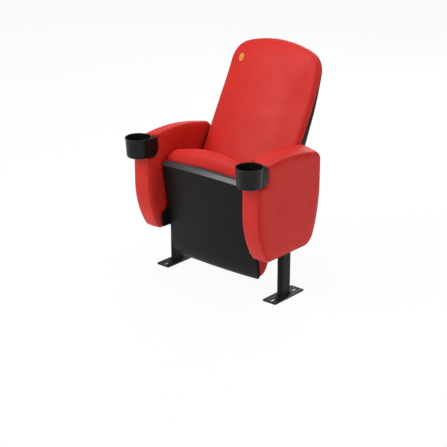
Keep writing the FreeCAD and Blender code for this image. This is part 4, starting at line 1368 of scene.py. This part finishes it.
def grained(name, grain, specular, bump, scuffs=None):
    """A finish with the pebbled grain and, where asked for, scuffs and dust over it."""
    material, shader = new_material(name)
    if shader:
        tree = material.node_tree
        under = place_group(tree, grain_group(), grain)
        over = under
        if scuffs:
            over = place_group(tree, scuff_group(), {"Amount": scuffs})
            for output in ("Colour", "Roughness"):
                tree.links.new(under.outputs[output], over.inputs[output])
        tree.links.new(over.outputs["Colour"], shader.inputs["Base Color"])
        tree.links.new(over.outputs["Roughness"], shader.inputs["Roughness"])
        shader.inputs["Specular IOR Level"].default_value = specular
        add_bump(tree, shader, under.outputs["Height"], *bump)
    return material


def mottled(name, dark, light, pattern, roughness, swing=0.0, bump=None, stretch=None, sockets=()):
    """A finish whose colour wanders between two shades over a noise.

    The roughness may swing and the surface rise with the same noise, which may be stretched along an axis.
    """
    material, shader = new_material(name)
    if shader:
        tree = material.node_tree
        place = object_place(tree)
        if stretch:
            mapping = tree.nodes.new("ShaderNodeMapping")
            mapping.inputs["Scale"].default_value = stretch
            tree.links.new(place, mapping.inputs["Vector"])
            place = mapping.outputs["Vector"]
        cloud = noise(tree, place, *pattern)
        tree.links.new(blend_colours(tree, cloud, (*dark, 1), (*light, 1)), shader.inputs["Base Color"])
        if swing:
            roughness = math_node(tree, "MULTIPLY_ADD", cloud, swing, roughness)
        feed(tree, shader.inputs["Roughness"], roughness)
        for socket, value in sockets:
            shader.inputs[socket].default_value = value
        if bump:
            add_bump(tree, shader, cloud, *bump)
    return material


def leatherette():
    """Red leatherette: a fine pebbled grain, satin, a shade darker where it has creased."""
    finish = sizes("finish")
    grain = {
        "Colour": finish.leatherette,
        "Worn colour": finish.leatherette_dark,
        "Grain scale": 620.0,
        "Roughness": 0.46,
        "Unevenness": 0.5,
    }
    return grained("red_leatherette", grain, specular=0.18, bump=(0.35, 0.0006))


def sewing_thread():
    """Red thread, duller than the leatherette, with its twist."""
    finish = sizes("finish")
    twist = (2400.0, 1.0)
    return mottled("red_thread", finish.thread, finish.leatherette_dark, twist, 0.7, bump=(0.4, 0.0003))


def black_finish(name, shade, roughness, specular, grain_scale, depth, scuffs):
    """A black finish with a fine grain, scuffs and dust."""
    grain = {
        "Colour": tuple(shade),
        "Worn colour": darker(shade, 0.7),
        "Grain scale": grain_scale,
        "Roughness": roughness,
        "Unevenness": 0.15,
    }
    return grained(name, grain, specular, (0.3, depth), scuffs)


def darker(shade, share):
    """That share of the shade's light."""
    return tuple(share * part for part in shade)


def moulding():
    """Black moulded plastic with a fine spark-eroded grain."""
    return black_finish("black_moulding", sizes("finish").moulding, 0.38, 0.22, 1500.0, 0.0003, 0.25)


def tray_moulding():
    """The same plastic as moulded for the tray: duller in the light, with a slightly coarser grain."""
    return black_finish("black_tray_moulding", sizes("finish").moulding, 0.42, 0.12, 1300.0, 0.00025, 0.3)


def lip_painted_highlight():
    """The tray's lip: smoother and glossier than the tray, with a lighter grey that is a painted highlight
    along it.
    """
    return black_finish("lip_painted_highlight_moulding", (0.050, 0.046, 0.050), 0.30, 0.45, 1300.0, 0.00015, 0.3)


def powder_coat():
    """Black powder coat, with its slight orange peel."""
    return black_finish("black_powder_coat", sizes("finish").powder, 0.42, 0.15, 420.0, 0.0004, 0.4)


def zinc_plate():
    """Bright zinc on steel, clouded."""
    dark, light = (0.42, 0.43, 0.44), (0.62, 0.63, 0.62)
    return mottled("zinc_plate", dark, light, (90.0, 4.0, 0.6), 0.28, swing=0.25, sockets=[("Metallic", 1.0)])


def plain_finish(name, shade, roughness):
    """A plain moulded finish with a trace of mottling."""
    return mottled(name, darker(shade, 0.8), shade, (300.0, 3.0), roughness, bump=(0.2, 0.0002))


def plywood():
    """Plywood, with its noise drawn out along X and Z as fibres."""
    dark, light = (0.42, 0.27, 0.14), (0.62, 0.44, 0.26)
    fibre = (3.0, 5.0, 0.6, 0.6)
    return mottled("plywood", dark, light, fibre, 0.6, bump=(0.3, 0.0004), stretch=(9.0, 60.0, 9.0))


def amber_plate():
    """Amber acrylic, glossy, a shade deeper in places."""
    amber = sizes("finish").amber
    cloud = (140.0, 2.0)
    return mottled("amber_plate", darker(amber, 0.75), amber, cloud, 0.25, sockets=[("Coat Weight", 0.4)])


# Stage

LAMP_TARGET = (0, -0.02, 0.5)
LAMPS = (
    ("key", (-1.6, -3.0, 3.2), (2.2, 2.2), 100),
    ("top", (0.3, 0.4, 3.6), (3.0, 3.0), 62),
    ("fill", (3.6, -0.6, 1.6), (2.0, 2.4), 12),
    ("back", (-1.2, 3.4, 2.2), (2.4, 2.0), 50),
)
WORLD_LIGHT = 0.36
WORLD_SEEN = 0.946
FLOOR_SEEN = 0.92
SENSOR_WIDTH = 36
CAMERA_TARGET = (-0.02855, POST_Y, 0.23153)


def look_at(thing, target):
    """Turns a lamp or camera to face the target."""
    thing.rotation_euler = (Vector(target) - thing.location).to_track_quat("-Z", "Y").to_euler()


def softbox(name, place, size, power):
    """A rectangular lamp at that place, facing the seat."""
    lamp = bpy.data.lights.new(name, "AREA")
    lamp.shape = "RECTANGLE"
    lamp.size, lamp.size_y = size
    lamp.energy = power
    box = bpy.data.objects.new(name, lamp)
    box.location = place
    look_at(box, LAMP_TARGET)
    bpy.context.scene.collection.objects.link(box)


def studio_floor():
    """A pale floor that the camera sees near white, with the seat's shadow on it."""
    shade = tuple(sizes("finish").floor)
    paler = tuple(min(1.0, part * 1.01) for part in shade)
    material = mottled("studio_floor", shade, paler, (2.0, 2.0), 0.9)
    tree = material.node_tree
    glow = tree.nodes.new("ShaderNodeEmission")
    glow.inputs["Color"].default_value = (1, 1, 1, 1)
    path = tree.nodes.new("ShaderNodeLightPath")
    seen = math_node(tree, "MAXIMUM", path.outputs["Is Camera Ray"], path.outputs["Is Glossy Ray"])
    seen = math_node(tree, "MAXIMUM", seen, path.outputs["Is Transmission Ray"])
    mix = tree.nodes.new("ShaderNodeMixShader")
    tree.links.new(math_node(tree, "MULTIPLY", seen, FLOOR_SEEN), mix.inputs[0])
    tree.links.new(tree.nodes["Principled BSDF"].outputs[0], mix.inputs[1])
    tree.links.new(glow.outputs[0], mix.inputs[2])
    tree.links.new(mix.outputs[0], tree.nodes["Material Output"].inputs["Surface"])
    return material


def studio_world():
    """Even white light from all round, which the camera itself sees brighter."""
    world = bpy.data.worlds.new("studio")
    world.use_nodes = True
    tree = world.node_tree
    sky = tree.nodes["Background"]
    sky.inputs["Color"].default_value = (1, 1, 1, 1)
    path = tree.nodes.new("ShaderNodeLightPath")
    seen = math_node(tree, "MULTIPLY", path.outputs["Is Camera Ray"], WORLD_SEEN)
    tree.links.new(math_node(tree, "MAXIMUM", seen, WORLD_LIGHT), sky.inputs["Strength"])
    return world


def studio_camera(stage):
    """The camera, at its azimuth, elevation and distance from what it looks at."""
    lens = bpy.data.cameras.new("camera")
    lens.lens = stage.focal
    lens.sensor_width = SENSOR_WIDTH
    camera = bpy.data.objects.new("camera", lens)
    level = math.cos(stage.elevation)
    way = (math.sin(stage.azimuth) * level, -math.cos(stage.azimuth) * level, math.sin(stage.elevation))
    camera.location = Vector(CAMERA_TARGET) + stage.distance * Vector(way)
    look_at(camera, CAMERA_TARGET)
    return camera


class SEAT_OT_stage(bpy.types.Operator):
    """Set the studio: pale floor, soft lamps and the camera"""

    bl_idname = "seat.stage"
    bl_label = "Stage"

    def execute(self, context):
        stage = sizes("stage")
        scene = context.scene
        mesh = bpy.data.meshes.new("floor")
        half = stage.floor / 2
        corners = [(-half, -half, 0), (half, -half, 0), (half, half, 0), (-half, half, 0)]
        mesh.from_pydata(corners, [], [(0, 1, 2, 3)])
        mesh.materials.append(studio_floor())
        floor = bpy.data.objects.new("floor", mesh)
        scene.collection.objects.link(floor)
        scene.world = studio_world()
        for lamp in LAMPS:
            softbox(*lamp)
        scene.camera = studio_camera(stage)
        scene.collection.objects.link(scene.camera)
        scene.view_settings.view_transform = "Standard"
        return {"FINISHED"}


OPERATORS = (
    SEAT_OT_steelwork,
    SEAT_OT_pivots,
    SEAT_OT_arms,
    SEAT_OT_backrest,
    SEAT_OT_seat,
    SEAT_OT_cups,
    SEAT_OT_number_plate,
    SEAT_OT_stage,
)
GROUPS = {
    "arm": ArmSizes,
    "back": BackSizes,
    "pan": PanSizes,
    "cup": CupSizes,
    "finish": Finishes,
    "stage": StageSizes,
}


class SEAT_PT_panel(bpy.types.Panel):
    """Lists the steps that build the seat, with their sizes and colours"""

    bl_label = "Auditorium seat"
    bl_idname = "SEAT_PT_panel"
    bl_space_type = "VIEW_3D"
    bl_region_type = "UI"
    bl_category = "Seat"

    def draw(self, context):
        for operator in OPERATORS:
            self.layout.operator(operator.bl_idname)
        for name in GROUPS:
            box = self.layout.box()
            group = getattr(context.scene, "seat_" + name)
            box.label(text=name.capitalize())
            for key in group.bl_rna.properties.keys():
                if key not in ("rna_type", "name"):
                    box.prop(group, key)


def register():
    for group in GROUPS.values():
        bpy.utils.register_class(group)
    for operator in OPERATORS:
        bpy.utils.register_class(operator)
    bpy.utils.register_class(SEAT_PT_panel)
    for name, group in GROUPS.items():
        setattr(bpy.types.Scene, "seat_" + name, PointerProperty(type=group))


def unregister():
    for name in GROUPS:
        delattr(bpy.types.Scene, "seat_" + name)
    bpy.utils.unregister_class(SEAT_PT_panel)
    for operator in OPERATORS:
        bpy.utils.unregister_class(operator)
    for group in GROUPS.values():
        bpy.utils.unregister_class(group)


def main():
    """Builds the seat step by step."""
    register()
    for operator in OPERATORS:
        module, name = operator.bl_idname.split(".")
        if getattr(getattr(bpy.ops, module), name)() != {"FINISHED"}:
            raise RuntimeError(f"{operator.bl_label} did not finish")


if __name__ == "__main__":
    main()
